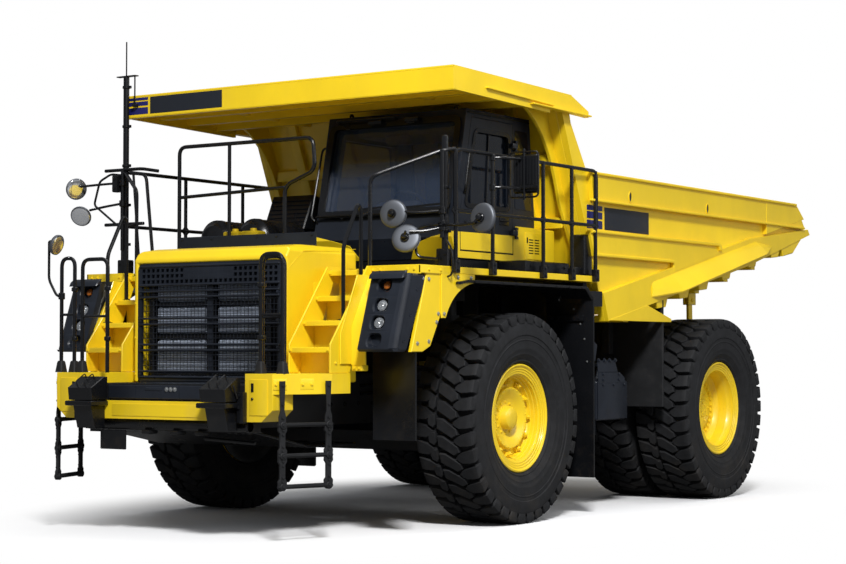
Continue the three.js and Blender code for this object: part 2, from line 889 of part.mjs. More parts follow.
part(
  "mirrors_left",
  mirrors(1, [
    { from: 3060, to: [1500, -3790, 3075], radius: 115 },
    { from: 2850, to: [1640, -3790, 2815], radius: 125 },
    { from: 2990, to: [2435, -3700, 2975], radius: 115 },
  ]),
  black,
);
part(
  "mirrors_right",
  mirrors(-1, [
    { from: 3300, to: [2435, -3700, 3420], radius: 115 },
    { from: 3500, to: [2330, mastY - 90, 3480], half: [150, 210] },
  ]),
  black,
);

// Two round air cleaners on a stand at the hood's rear right corner.
part(
  "air_cleaners",
  join(
    box(-1300, -300, -3250, -2650, DECK_TOP + GAP, 2700),
    [-1050, -550].map((x) => bar([x, -3330, 2890], [x, -2600, 2890], 215, 16)),
  ),
  black,
);

// ---------------------------------------------------------------- tanks and axles
forEachSide((name, side) => {
  const inner = side * (RAIL_OUTER + GAP);
  part(
    side > 0 ? "hydraulic_tank" : "fuel_tank",
    join(
      box(inner, side * 1500, -600, 380, 780, 1450),
      box(side * 1490, side * 1900, -350, 350, 973, 1414),
    ),
    charcoal,
  );
});

const yokeRadius = 100;
const kingpinHalf = 212;

function frontSuspension() {
  const y0 = FRONT_AXLE_Y - 100;
  const y1 = FRONT_AXLE_Y + 100;
  const pieces = [box(-KINGPIN_X + 110, KINGPIN_X - 110, y0, y1, 700, axleBeamTop)];
  for (const side of [1, -1]) {
    const pin = side * KINGPIN_X;
    const back0 = side * (KINGPIN_X - 200);
    const back1 = side * (KINGPIN_X - 112);
    const high = AXLE_Z + kingpinHalf + GAP;
    const low = AXLE_Z - kingpinHalf - GAP;
    pieces.push(
      box(back0, back1, FRONT_AXLE_Y - 90, FRONT_AXLE_Y + 90, 710, high + 100),
      box(back0, pin, FRONT_AXLE_Y - 90, FRONT_AXLE_Y + 90, high, high + 100),
      bar([pin, FRONT_AXLE_Y, high], [pin, FRONT_AXLE_Y, high + 100], yokeRadius, 16),
      box(back0, pin, FRONT_AXLE_Y - 90, FRONT_AXLE_Y + 90, low - 100, low),
      bar([pin, FRONT_AXLE_Y, low - 100], [pin, FRONT_AXLE_Y, low], yokeRadius, 16),
      bar([side * 1130, FRONT_AXLE_Y, 800], [side * 1130, FRONT_AXLE_Y, towerZ - GAP], 95, 12),
      box(side * RAIL_INNER, side * RAIL_OUTER, y0, y1, axleBeamTop - 10, RAIL_BOTTOM - GAP),
    );
  }
  return join(pieces);
}

part("front_suspension", frontSuspension(), iron);

const frontWheelX = FRONT_TRACK / 2;
const rearWheelX = REAR_TRACK / 2;
const rimDiscIn = 20;
const hubReach = 150;

function knuckle(side) {
  const pin = side * KINGPIN_X;
  return join(
    bar([pin, FRONT_AXLE_Y, AXLE_Z - kingpinHalf], [pin, FRONT_AXLE_Y, AXLE_Z + kingpinHalf], 90, 16),
    bar([pin, FRONT_AXLE_Y, AXLE_Z], [side * (frontWheelX + rimDiscIn - GAP), FRONT_AXLE_Y, AXLE_Z], 110, 16),
    bar([side * (KINGPIN_X + 165), FRONT_AXLE_Y, AXLE_Z], [side * (KINGPIN_X + 240), FRONT_AXLE_Y, AXLE_Z], 330, 20),
  );
}

forEachSide((name, side) => part(`steering_knuckle_${name}`, knuckle(side), iron));

const bead = TYRE_WIDTH / 2 - 111;
const tyreProfile = [
  [-bead, RIM_SEAT_RADIUS],
  [bead, RIM_SEAT_RADIUS],
  [bead, RIM_FLANGE_RADIUS + 10],
  [TYRE_WIDTH / 2, TYRE_RADIUS - 280],
  [TYRE_WIDTH / 2, TYRE_RADIUS - 100],
  [TYRE_WIDTH / 2 - 60, TYRE_RADIUS],
  [-TYRE_WIDTH / 2 + 60, TYRE_RADIUS],
  [-TYRE_WIDTH / 2, TYRE_RADIUS - 100],
  [-TYRE_WIDTH / 2, TYRE_RADIUS - 280],
  [-bead, RIM_FLANGE_RADIUS + 10],
  [-bead, RIM_SEAT_RADIUS],
];

// The flange, bead seat and flange of one tyre, centred at `middle`, read from outside inwards.
function rimSeat(middle) {
  const seat = RIM_SEAT_RADIUS - GAP;
  const edge = bead + GAP;
  return [
    [middle + edge + 30, RIM_FLANGE_RADIUS],
    [middle + edge, RIM_FLANGE_RADIUS],
    [middle + edge, seat],
    [middle - edge, seat],
    [middle - edge, RIM_FLANGE_RADIUS],
    [middle - edge - 30, RIM_FLANGE_RADIUS],
  ];
}

const rimEdge = bead + GAP + 30;
const frontRimProfile = [
  [hubReach, 0],
  [hubReach, 150],
  [60, 210],
  [60, 330],
  [100, 415],
  [rimEdge, 470],
  ...rimSeat(0),
  [-rimEdge, 425],
  [rimDiscIn, 400],
  [rimDiscIn, 0],
];
const dual = DUAL_SPACING / 2;
const rearDiscIn = 150;
const rearRimProfile = [
  [330, 0],
  [330, 190],
  [200, 230],
  [200, 400],
  [dual + rimEdge, 430],
  ...rimSeat(dual),
  [dual - rimEdge, RIM_SEAT_RADIUS - 5],
  [-dual + rimEdge, RIM_SEAT_RADIUS - 5],
  ...rimSeat(-dual),
  [-dual - rimEdge, 420],
  [rearDiscIn, 400],
  [rearDiscIn, 0],
];

function lathed(profile, side, x, y) {
  return turned([...profile].reverse(), side, [side * x, y, AXLE_Z]);
}

forEachSide((name, side) => {
  part(`front_tyre_${name}`, lathed(tyreProfile, side, frontWheelX, FRONT_AXLE_Y), rubber);
  part(`front_rim_${name}`, lathed(frontRimProfile, side, frontWheelX, FRONT_AXLE_Y), yellow);
  part(`rear_tyre_outer_${name}`, lathed(tyreProfile, side, rearWheelX + dual, REAR_AXLE_Y), rubber);
  part(`rear_tyre_inner_${name}`, lathed(tyreProfile, side, rearWheelX - dual, REAR_AXLE_Y), rubber);
  part(`rear_rim_${name}`, lathed(rearRimProfile, side, rearWheelX, REAR_AXLE_Y), yellow);
});

function rearAxle() {
  const end = rearWheelX + rearDiscIn - GAP;
  const pieces = [
    bar([-760, REAR_AXLE_Y, AXLE_Z], [760, REAR_AXLE_Y, AXLE_Z], 225, 16),
    bar([-end, REAR_AXLE_Y, AXLE_Z], [end, REAR_AXLE_Y, AXLE_Z], 190, 16),
    new THREE.SphereGeometry(400, 16, 12).translate(0, REAR_AXLE_Y, AXLE_Z),
    bar([0, REAR_AXLE_Y - 420, AXLE_Z], [0, REAR_AXLE_Y - 300, AXLE_Z], 120, 12),
  ];
  for (const side of [1, -1]) {
    pieces.push(
      box(side * 200, side * 320, 790, REAR_AXLE_Y - 100, 1010, 1150 - GAP),
      box(side * 600, side * 700, REAR_AXLE_Y + 100, REAR_AXLE_Y + 270, 1020, 1120),
      bar([side * 650, REAR_AXLE_Y + 200, 1050], [side * 650, REAR_AXLE_Y + 200, 1600 - GAP], 65, 10),
    );
  }
  return join(pieces);
}

part("rear_axle", rearAxle(), iron);

// ---------------------------------------------------------------- hoists
const hoistRun = [HOIST_EYE[0] - HOIST_FOOT[0], HOIST_EYE[1] - HOIST_FOOT[1]];
const hoistLength = Math.hypot(...hoistRun);
const hoistAngle = Math.atan2(hoistRun[1], hoistRun[0]);
const rodRadius = 62;
const barrelTop = hoistLength - 130;

function alongHoist(side, distance) {
  return [
    side * HOIST_X,
    HOIST_FOOT[0] + Math.cos(hoistAngle) * distance,
    HOIST_FOOT[1] + Math.sin(hoistAngle) * distance,
  ];
}

const bored = (radius, sides) => radius / Math.cos(Math.PI / sides);

function hoistBarrel(side) {
  const eye = bar([side * (HOIST_X - 84), ...HOIST_FOOT], [side * (HOIST_X + 84), ...HOIST_FOOT], 95, 16);
  const pin = bar(
    [side * (HOIST_X - 120), ...HOIST_FOOT],
    [side * (HOIST_X + 120), ...HOIST_FOOT],
    bored(hoistPinRadius + 0.02, 16),
    16,
  );
  return cut(
    join(eye, bar(alongHoist(side, 60), alongHoist(side, barrelTop), 98, 16)),
    pin,
    bar(alongHoist(side, 120), alongHoist(side, barrelTop + 10), rodRadius + 0.5, 16),
  );
}

function hoistRod(side) {
  return join(
    bar(alongHoist(side, 125), alongHoist(side, hoistLength), rodRadius, 16),
    bar([side * (HOIST_X - 62), ...HOIST_EYE], [side * (HOIST_X + 62), ...HOIST_EYE], 85, 16),
  );
}

forEachSide((name, side) => {
  part(`hoist_barrel_${name}`, hoistBarrel(side), iron);
  part(`hoist_rod_${name}`, hoistRod(side), steel);
});

// ---------------------------------------------------------------- dump body
const floorZ = (y) =>
  y < TAIL_BREAK_Y
    ? BODY_FLOOR_Z + (y - BODY_FRONT_Y) * FLOOR_SLOPE
    : BODY_FLOOR_Z + (TAIL_BREAK_Y - BODY_FRONT_Y) * FLOOR_SLOPE + (y - TAIL_BREAK_Y) * TAIL_SLOPE;
const frontWallY = (z) => BODY_FRONT_Y - (z - BODY_FLOOR_Z) * FRONT_WALL_LEAN;
const sideInner = BODY_HALF - 120;
const floorHalf = sideInner - GAP;
const canopyUnder = (y) => CANOPY_TOP - 50 - (y - CANOPY_FRONT) * 0.018;

function bodyFloor() {
  const plate = [
    [BODY_FRONT_Y, floorZ(BODY_FRONT_Y)],
    [TAIL_BREAK_Y, floorZ(TAIL_BREAK_Y)],
    [TAIL_TIP_Y, floorZ(TAIL_TIP_Y)],
    [TAIL_TIP_Y - 15, floorZ(TAIL_TIP_Y) + BODY_PLATE],
    [TAIL_BREAK_Y - 10, floorZ(TAIL_BREAK_Y) + BODY_PLATE],
    [BODY_FRONT_Y - 5, floorZ(BODY_FRONT_Y) + BODY_PLATE],
  ];
  const pieces = [acrossX(plate, -floorHalf, floorHalf)];
  const railTopAt = (y) =>
    y < frameKick - 1000 ? RAIL_TOP + 60 : y < frameKick - 300 ? RAIL_TOP + 60 + ((y - frameKick + 1000) / 700) * 160 : frameTopRear;
  for (const side of [1, -1]) {
    const beam = [
      [BODY_FRONT_Y + 60, railTopAt(0) + MOVE],
      [frameKick - 1000, railTopAt(0) + MOVE],
      [frameKick - 300, frameTopRear + MOVE],
      [PIVOT_Y - 330, frameTopRear + MOVE],
      [PIVOT_Y - 260, floorZ(PIVOT_Y) + 5],
      [BODY_FRONT_Y + 60, floorZ(BODY_FRONT_Y) + 10],
    ];
    const lug = [
      [PIVOT_Y - 420, floorZ(PIVOT_Y - 420) + 10],
      [PIVOT_Y - 110, PIVOT_Z - 60],
      [PIVOT_Y, PIVOT_Z - 120],
      [PIVOT_Y + 110, PIVOT_Z - 60],
      [PIVOT_Y + 300, floorZ(PIVOT_Y + 300) + 10],
    ];
    const hoistLug = [
      [HOIST_EYE[0] - 190, floorZ(HOIST_EYE[0] - 190) + 10],
      [HOIST_EYE[0] - 70, HOIST_EYE[1] - 80],
      [HOIST_EYE[0] + 70, HOIST_EYE[1] - 80],
      [HOIST_EYE[0] + 190, floorZ(HOIST_EYE[0] + 190) + 10],
    ];
    pieces.push(
      acrossX(beam, side * (RAIL_INNER + 10), side * (RAIL_OUTER - 10)),
      cut(
        acrossX(lug, side * (RAIL_OUTER + MOVE), side * (RAIL_OUTER + 96)),
        bar(
          [side * RAIL_INNER, PIVOT_Y, PIVOT_Z],
          [side * 800, PIVOT_Y, PIVOT_Z],
          bored(pinRadius + 0.4, 24),
          24,
        ),
      ),
      acrossX(hoistLug, side * (HOIST_X - 98), side * (HOIST_X - 70)),
      acrossX(hoistLug, side * (HOIST_X + 70), side * (HOIST_X + 98)),
    );
  }
  for (const y of [100, 900, 1900, 2700, 3500, 4300]) {
    pieces.push(box(-floorHalf, floorHalf, y, y + 120, floorZ(y) - 110, floorZ(y) + 30));
  }
  return join(pieces);
}

part("body_floor", bodyFloor(), yellow);

function bodyFrontWall() {
  const low = floorZ(BODY_FRONT_Y + 75) + BODY_PLATE + GAP;
  const high = canopyUnder(frontWallY(4360) + 80) - GAP;
  const wall = [
    [frontWallY(low), low],
    [frontWallY(high), high],
    [frontWallY(high) + 75, high],
    [frontWallY(low) + 75, low],
  ];
  return acrossX(wall, -floorHalf, floorHalf);
}

part("body_front_wall", bodyFrontWall(), yellow);

function bodySide(side) {
  const outline = [
    [BODY_FRONT_Y, floorZ(BODY_FRONT_Y)],
    [TAIL_BREAK_Y, floorZ(TAIL_BREAK_Y)],
    [TAIL_TIP_Y, floorZ(TAIL_TIP_Y)],
    [TAIL_TIP_Y - 60, floorZ(TAIL_TIP_Y) + 70],
    [4658, BODY_RAIL_TOP],
    [-850, BODY_RAIL_TOP + 10],
    [-1180, 4130],
    [-1250, canopyUnder(-1250) - GAP],
    [frontWallY(4360), canopyUnder(frontWallY(4360)) - GAP],
  ];
  const rail = [
    [-770, 3335],
    [4950, 3335],
    [4658, BODY_RAIL_TOP],
    [-850, BODY_RAIL_TOP],
  ];
  const sill = [
    [BODY_FRONT_Y, floorZ(BODY_FRONT_Y)],
    [TAIL_BREAK_Y, floorZ(TAIL_BREAK_Y)],
    [TAIL_TIP_Y, floorZ(TAIL_TIP_Y)],
    [TAIL_TIP_Y - 60, floorZ(TAIL_TIP_Y) + 70],
    [TAIL_BREAK_Y, floorZ(TAIL_BREAK_Y) + 330],
    [BODY_FRONT_Y - 120, floorZ(BODY_FRONT_Y) + 300],
  ];
  return join(
    acrossX(outline, side * sideInner, side * (BODY_HALF - 50)),
    acrossX(rail, side * (BODY_HALF - 60), side * BODY_HALF),
    acrossX(sill, side * (BODY_HALF - 60), side * BODY_HALF),
  );
}

forEachSide((name, side) => part(`body_side_${name}`, bodySide(side), yellow));

function bodyCanopy() {
  const top = (y) => canopyUnder(y) + 50;
  const rear = -1250;
  const plate = [
    [CANOPY_FRONT, canopyUnder(CANOPY_FRONT)],
    [rear, canopyUnder(rear)],
    [rear, top(rear)],
    [CANOPY_FRONT, CANOPY_TOP],
  ];
  const lip = [
    [CANOPY_FRONT, CANOPY_LIP],
    [-1700, CANOPY_LIP - 40],
    [-1700, top(-1700) - 10],
    [CANOPY_FRONT, CANOPY_TOP - 10],
  ];
  const wing = [
    [-1700, canopyUnder(-1700) - 140],
    [-884, 4211],
    [-884, 4275],
    [-1271, top(rear)],
    [-1700, top(-1700)],
  ];
  const ribs = [-3000, -2500, -2000].map((y) =>
    box(-BODY_HALF + 30, BODY_HALF - 30, y - 40, y + 40, canopyUnder(y) - 150, canopyUnder(y) + 10),
  );
  return join(
    acrossX(plate, -BODY_HALF, BODY_HALF),
    box(-BODY_HALF, BODY_HALF, CANOPY_FRONT, CANOPY_FRONT + 50, CANOPY_LIP, CANOPY_TOP - 10),
    ribs,
    [1, -1].map((side) => [
      acrossX(lip, side * (BODY_HALF - 40), side * BODY_HALF),
      acrossX(wing, side * (BODY_HALF - 49), side * BODY_HALF),
    ]),
  );
}

part("body_canopy", bodyCanopy(), yellow);

// A rubber guard ahead of the rear tyres, hung under the body floor.
const guardY = 880;

function mudguard(side) {
  const head = floorZ(guardY - 40) - GAP;
  return join(
    box(side * 1122, side * (BODY_HALF - 10), guardY - 40, guardY, 1100, head),
    box(side * 1350, side * 1450, guardY - 120, guardY - 30, 1700, head - 20),
  );
}

forEachSide((name, side) => part(`mudguard_${name}`, mudguard(side), black));

// The origin: the middle of the truck's footprint box, on the ground.
const outer = new THREE.Box3().setFromObject(truck);
const centre = outer.getCenter(new THREE.Vector3());
truck.position.set(-centre.x, -centre.y, 0);

export default truck;
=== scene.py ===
"""A rigid-frame mining dump truck: tyres, glass, rails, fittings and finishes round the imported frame."""

import json
import math
import bmesh
import bpy
import numpy as np

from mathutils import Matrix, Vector

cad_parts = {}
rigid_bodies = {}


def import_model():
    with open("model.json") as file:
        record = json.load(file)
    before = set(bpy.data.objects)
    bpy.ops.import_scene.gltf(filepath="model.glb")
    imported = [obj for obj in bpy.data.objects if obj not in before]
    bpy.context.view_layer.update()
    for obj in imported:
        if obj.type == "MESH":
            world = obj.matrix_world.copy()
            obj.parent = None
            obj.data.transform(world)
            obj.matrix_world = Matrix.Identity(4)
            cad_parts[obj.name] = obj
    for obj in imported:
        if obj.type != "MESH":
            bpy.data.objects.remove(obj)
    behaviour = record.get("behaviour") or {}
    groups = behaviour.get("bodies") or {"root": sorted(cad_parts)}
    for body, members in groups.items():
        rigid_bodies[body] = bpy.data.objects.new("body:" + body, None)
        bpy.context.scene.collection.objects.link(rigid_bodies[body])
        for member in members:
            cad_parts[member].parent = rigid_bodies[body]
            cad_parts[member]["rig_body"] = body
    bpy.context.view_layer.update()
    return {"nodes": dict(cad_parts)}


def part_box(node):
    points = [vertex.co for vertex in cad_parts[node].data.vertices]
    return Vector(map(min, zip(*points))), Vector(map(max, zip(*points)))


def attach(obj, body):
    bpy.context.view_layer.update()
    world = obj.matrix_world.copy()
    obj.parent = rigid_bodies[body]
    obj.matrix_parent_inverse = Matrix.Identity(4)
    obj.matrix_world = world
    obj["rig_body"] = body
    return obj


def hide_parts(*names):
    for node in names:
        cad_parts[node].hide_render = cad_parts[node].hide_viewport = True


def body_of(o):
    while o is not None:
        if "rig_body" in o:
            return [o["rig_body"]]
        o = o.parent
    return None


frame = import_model()
bl_info = {
    "name": "Mining dump truck", "version": (1, 0, 0), "blender": (4, 5, 0),
    "location": "View3D > Sidebar > Truck",
    "description": "Builds the looks of a mining dump truck round its fixed frame", "category": "Object"}


FRONT_AXLE = (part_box("front_tyre_left")[0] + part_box("front_tyre_left")[1]) / 2
REAR_AXLE = (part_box("rear_tyre_outer_left")[0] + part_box("rear_tyre_outer_left")[1]) / 2

# Lengths along the truck are measured from the middle of the wheelbase, which lies here.
ORIGIN = np.array((0, (FRONT_AXLE.y + REAR_AXLE.y) / 2, 0))
SIDES = {"left": 1, "right": -1}


class Span:
    """The box of a CAD node, measured from the middle of the wheelbase."""

    def __init__(self, node):
        low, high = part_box(node)
        self.low = np.array(low) - ORIGIN
        self.high = np.array(high) - ORIGIN
        self.middle = (self.low + self.high) / 2
        self.size = self.high - self.low


# ---- surfaces
# An outline's two directions and the direction that it is carried in, as rows.
ALONG_X = np.array(((0, 1, 0), (0, 0, 1), (1, 0, 0)), float)
ALONG_Y = np.array(((1, 0, 0), (0, 0, 1), (0, 1, 0)), float)
ALONG_Z = np.array(((1, 0, 0), (0, 1, 0), (0, 0, 1)), float)

# Out to the truck's left, ahead and up.
OUT = (1, 0, 0)
AHEAD = (0, -1, 0)
UP = (0, 0, 1)


class Surface:
    """Points and the faces between them: one closed skin, or several that don't touch."""

    def __init__(self, points, quads, caps=()):
        self.points = np.asarray(points, float).reshape(-1, 3)
        self.quads = np.asarray(quads, int).reshape(-1, 4)
        self.caps = [np.asarray(cap, int) for cap in caps]

    def __add__(self, other):
        return joined(self, other)

    def moved(self, x=0.0, y=0.0, z=0.0):
        """Each point with the same three lengths added."""
        return Surface(self.points + (x, y, z), self.quads, self.caps)

    def turned(self, basis, origin=(0, 0, 0)):
        """Each point is the sum of the basis rows, weighted by its coordinates, added to the origin."""
        return Surface(self.points @ np.asarray(basis) + origin, self.quads, self.caps)

    def on_side(self, side):
        """The surface itself for the left side, and its mirror image for the right."""
        if side > 0:
            return self
        return Surface(self.points * (-1, 1, 1), self.quads[:, ::-1], [cap[::-1] for cap in self.caps])


def joined(*surfaces):
    """Several surfaces as one, each with its face numbers raised by the points before it."""
    flat = [s for group in surfaces for s in (group if isinstance(group, (list, tuple)) else [group])]
    starts = np.cumsum([0] + [len(s.points) for s in flat])
    return Surface(
        np.concatenate([s.points for s in flat]),
        np.concatenate([s.quads + start for s, start in zip(flat, starts)]),
        [cap + start for s, start in zip(flat, starts) for cap in s.caps])


def copies(surface, origins, bases=None):
    """The surface repeated at each origin, turned by the basis there."""
    origins = np.asarray(origins, float).reshape(-1, 1, 3)
    count = len(origins)
    if bases is None:
        points = surface.points[None] + origins
    else:
        points = np.einsum("ni,kij->knj", surface.points, np.asarray(bases)) + origins
    starts = np.arange(count) * len(surface.points)
    quads = surface.quads[None] + starts[:, None, None]
    caps = [cap + start for start in starts for cap in surface.caps]
    return Surface(points, quads, caps)


def axes(direction):
    """Three square unit rows, the last along the direction."""
    along = np.asarray(direction, float) / np.linalg.norm(direction)
    helper = np.eye(3)[np.argmin(np.abs(along))]
    across = np.cross(helper, along)
    across /= np.linalg.norm(across)
    return np.stack([across, np.cross(along, across), along])


def spin_bases(axis, angles):
    """One basis for each angle, in radians, which turns a shape about X, Y or Z."""
    c, s = np.cos(angles), np.sin(angles)
    o, i = np.zeros_like(c), np.ones_like(c)
    rows = {
        "X": ((i, o, o), (o, c, s), (o, -s, c)), "Y": ((c, o, -s), (o, i, o), (s, o, c)),
        "Z": ((c, s, o), (-s, c, o), (o, o, i))}[axis]
    return np.moveaxis(np.array(rows), 2, 0)


def carried(rings, wrap=False):
    """A skin over rings of points, each closed on itself. Wrapped, the last ring joins the first;
    otherwise a flat cap closes each end."""
    rings = np.asarray(rings, float)
    rows, count = rings.shape[:2]
    i, j = np.meshgrid(np.arange(rows if wrap else rows - 1), np.arange(count), indexing="ij")
    here, there = i * count, (i + 1) % rows * count
    beside = (j + 1) % count
    quads = np.stack([here + j, here + beside, there + beside, there + j], -1)
    ends = np.arange(count)
    caps = () if wrap else (ends[::-1], ends + (rows - 1) * count)
    return Surface(rings, quads, caps)


def circle(sides, start=0.0):
    """Points of the unit circle at even angles."""
    angle = start + 2 * np.pi * np.arange(sides) / sides
    return np.stack([np.cos(angle), np.sin(angle)], -1)


def softened(points, reach, steps=3, closed=True):
    """The line with each corner replaced by a parabola that starts and ends `reach` from it."""
    points = np.asarray(points, float)
    back, on = np.roll(points, 1, 0) - points, np.roll(points, -1, 0) - points
    far = (np.linalg.norm(back, axis=1)[:, None], np.linalg.norm(on, axis=1)[:, None])
    start = points + back / far[0] * np.minimum(reach, 0.45 * far[0])
    end = points + on / far[1] * np.minimum(reach, 0.45 * far[1])
    t = np.linspace(0, 1, steps + 1)[None, :, None]
    bends = (1 - t) ** 2 * start[:, None] + 2 * t * (1 - t) * points[:, None] + t ** 2 * end[:, None]
    if closed:
        return bends.reshape(-1, points.shape[1])
    return np.concatenate([points[:1], bends[1:-1].reshape(-1, points.shape[1]), points[-1:]])


def offset(outline, distance):
    """The closed outline moved out by the distance, each corner along its mitre."""
    outline = np.asarray(outline, float)
    x, y = outline.T
    turn = np.sign(np.sum(x * np.roll(y, -1) - np.roll(x, -1) * y))
    run = np.roll(outline, -1, 0) - outline
    run /= np.maximum(np.linalg.norm(run, axis=1), 1e-12)[:, None]
    normal = np.stack([run[:, 1], -run[:, 0]], -1) * turn
    mitre = normal + np.roll(normal, 1, 0)
    mitre /= np.maximum(np.sum(mitre ** 2, axis=1) / 2, 0.2)[:, None]
    return outline + mitre * distance


def levelled(levels):
    """Rings of three coordinates from pairs of an outline and its height."""
    return [np.column_stack([ring, np.full(len(ring), level)]) for ring, level in levels]


def plate(basis, outline, low, high, edge=0.004):
    """A closed outline carried from low to high, its ends bevelled by `edge`."""
    outline = np.asarray(outline, float)
    edge = min(edge, 0.45 * abs(high - low))
    inner = offset(outline, -edge)
    low, high = min(low, high), max(low, high)
    levels = [(inner, low), (outline, low + edge), (outline, high - edge), (inner, high)]
    return carried(levelled(levels)).turned(basis)


def holed(basis, outer, inner, low, high):
    """A plate between two outlines of as many points, open within the inner one."""
    levels = [(outer, low), (outer, high), (inner, high), (inner, low)]
    return carried(levelled(levels), wrap=True).turned(basis)


def rectangle(low, high):
    """The four corners between two opposite ones."""
    return np.array((low, (high[0], low[1]), high, (low[0], high[1])), float)


def block(low, high, edge=0.01, steps=2):
    """A box between two corners, its upright edges rounded and its ends bevelled."""
    low, high = np.minimum(low, high), np.maximum(low, high)
    edge = min(edge, 0.4 * (high - low).min())
    plan = softened(rectangle(low[:2], high[:2]), edge, steps)
    return plate(ALONG_Z, plan, low[2], high[2], edge)


def turned(profile, direction=OUT, centre=(0, 0, 0), sides=48, wrap=False):
    """A profile of (along, radius) points turned about an axis through the centre."""
    profile = np.asarray(profile, float)
    ring = circle(sides)
    across = profile[:, 1, None, None] * ring[None]
    along = np.broadcast_to(profile[:, 0, None, None], (len(profile), sides, 1))
    rings = np.concatenate([across, along], -1)
    return carried(rings, wrap).turned(axes(direction), centre)


def rod(start, end, radius, sides=12, edge=0.003):
    """A round bar between two points with bevelled ends."""
    start, end = np.asarray(start, float), np.asarray(end, float)
    length = np.linalg.norm(end - start)
    edge = min(edge, radius / 2, length / 3)
    profile = [(0, radius - edge), (edge, radius), (length - edge, radius), (length, radius - edge)]
    return turned(profile, end - start, start, sides)


def post(x, y, low, high, radius, sides=12, edge=0.003):
    """An upright bar from one height to another."""
    return rod((x, y, low), (x, y, high), radius, sides, edge)


def beam(start, end, width, height, up=UP, edge=0.004):
    """A bar of rectangular section between two points, its height turned towards `up`."""
    start, end = np.asarray(start, float), np.asarray(end, float)
    along = end - start
    length = np.linalg.norm(along)
    along /= length
    across = np.cross(along, up)
    across /= np.linalg.norm(across)
    basis = np.stack([across, np.cross(across, along), along])
    half = np.array((width, height)) / 2
    return plate(np.eye(3), softened(rectangle(-half, half), edge, 2), 0, length, edge).turned(basis, start)


def tube(points, radius, bend=0.07, sides=10, steps=5):
    """A circle carried along a line whose corners are rounded by `bend`, square to the line."""
    path = softened(points, bend, steps, closed=False)
    run = np.gradient(path, axis=0)
    run /= np.linalg.norm(run, axis=1)[:, None]
    candidates = np.array((OUT, (0, 1, 0), UP, (1, 1, 0), (1, 0, 1), (0, 1, 1), (1, 1, 1)), float)
    candidates /= np.linalg.norm(candidates, axis=1)[:, None]
    helper = candidates[np.argmin(np.abs(run @ candidates.T).max(0))]
    across = np.cross(run, helper)
    across /= np.linalg.norm(across, axis=1)[:, None]
    upright = np.cross(run, across)
    ring = circle(sides) * radius
    rings = path[:, None] + ring[None, :, :1] * across[:, None] + ring[None, :, 1:] * upright[:, None]
    return carried(rings)


def bolt(radius=0.012, height=0.012):
    """A hexagon head on a round washer, standing along +Z at the origin."""
    head = [(height * 0.25, 1.0), (height * 0.8, 1.0), (height, 0.82)]
    washer = [(-0.004, 1.45), (height * 0.25, 1.45)]

    def stack(profile, sides):
        """Circles at the given heights, each scaled by its radius there, joined as one solid."""
        return carried(levelled([(circle(sides) * radius * r, z) for z, r in profile]))

    return stack(washer, 12) + stack(head, 6)


def bolts(places, direction, radius=0.012, height=None):
    """Hexagon bolts at the places, standing out along the direction."""
    one = bolt(radius, height or radius).turned(axes(direction))
    return copies(one, places)


def bolt_ring(centre, direction, ring_radius, count, radius, start=0.0):
    """Hexagon bolts at even angles round an axis."""
    ring = circle(count, start) * ring_radius
    places = np.column_stack([ring, np.zeros(count)]) @ axes(direction) + centre
    return bolts(places, direction, radius)


# ---- pieces
SMOOTH_BELOW = math.radians(32)

# The CAD materials that finishes with other names stand for.
SLOTS = {
    "zinc bolts": "plated_rod", "reflector": "plated_rod", "mirror back": "plated_rod",
    "mirror glass": "plated_rod", "cooling fins": "fin_metal", "cabin plastic": "seat_fabric",
    "seat cloth": "seat_fabric", "rear glass": "tinted_glass", "side glass": "tinted_glass",
    "clear lens": "tinted_glass", "amber lens": "tinted_glass", "stripe vinyl": "charcoal_paint",
    "blank plate": "charcoal_paint", "painted shade yellow": "yellow_paint", "grip coating": "charcoal_paint"}


def mesh_from(name, surface):
    """A mesh of the surface in the part's frame, with every skin's faces pointing outwards."""
    mesh = bpy.data.meshes.new(name)
    points = (surface.points + ORIGIN).astype(np.float32)
    counts = np.concatenate(
        [np.full(len(surface.quads), 4), [len(cap) for cap in surface.caps]]).astype(int)
    loops = np.concatenate([surface.quads.ravel(), *surface.caps]).astype(np.int32)
    mesh.vertices.add(len(points))
    mesh.vertices.foreach_set("co", points.ravel())
    mesh.loops.add(len(loops))
    mesh.loops.foreach_set("vertex_index", loops)
    mesh.polygons.add(len(counts))
    mesh.polygons.foreach_set("loop_start", (np.cumsum(counts) - counts).astype(np.int32))
    mesh.update(calc_edges=True)
    shape = bmesh.new()
    shape.from_mesh(mesh)
    bmesh.ops.recalc_face_normals(shape, faces=shape.faces)
    shape.to_mesh(mesh)
    shape.free()
    return mesh


def finish_piece(name, mesh, body, finish, slot, replaces):
    """Links the mesh as a piece that rides on a body and may stand in for a CAD node."""
    mesh.materials.clear()
    mesh.materials.append(FINISHES[finish])
    mesh.shade_smooth()
    mesh.set_sharp_from_angle(angle=SMOOTH_BELOW)
    piece = bpy.data.objects.new(name, mesh)
    bpy.context.scene.collection.objects.link(piece)
    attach(piece, body)
    slot or SLOTS.get(finish, finish.replace(" ", "_"))
    if replaces:
        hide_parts(replaces)
    return piece


def make(name, surfaces, finish, replaces=None, body="chassis", slot=None):
    """A new piece from surfaces."""
    return finish_piece(name, mesh_from(name, joined(surfaces)), body, finish, slot, replaces)


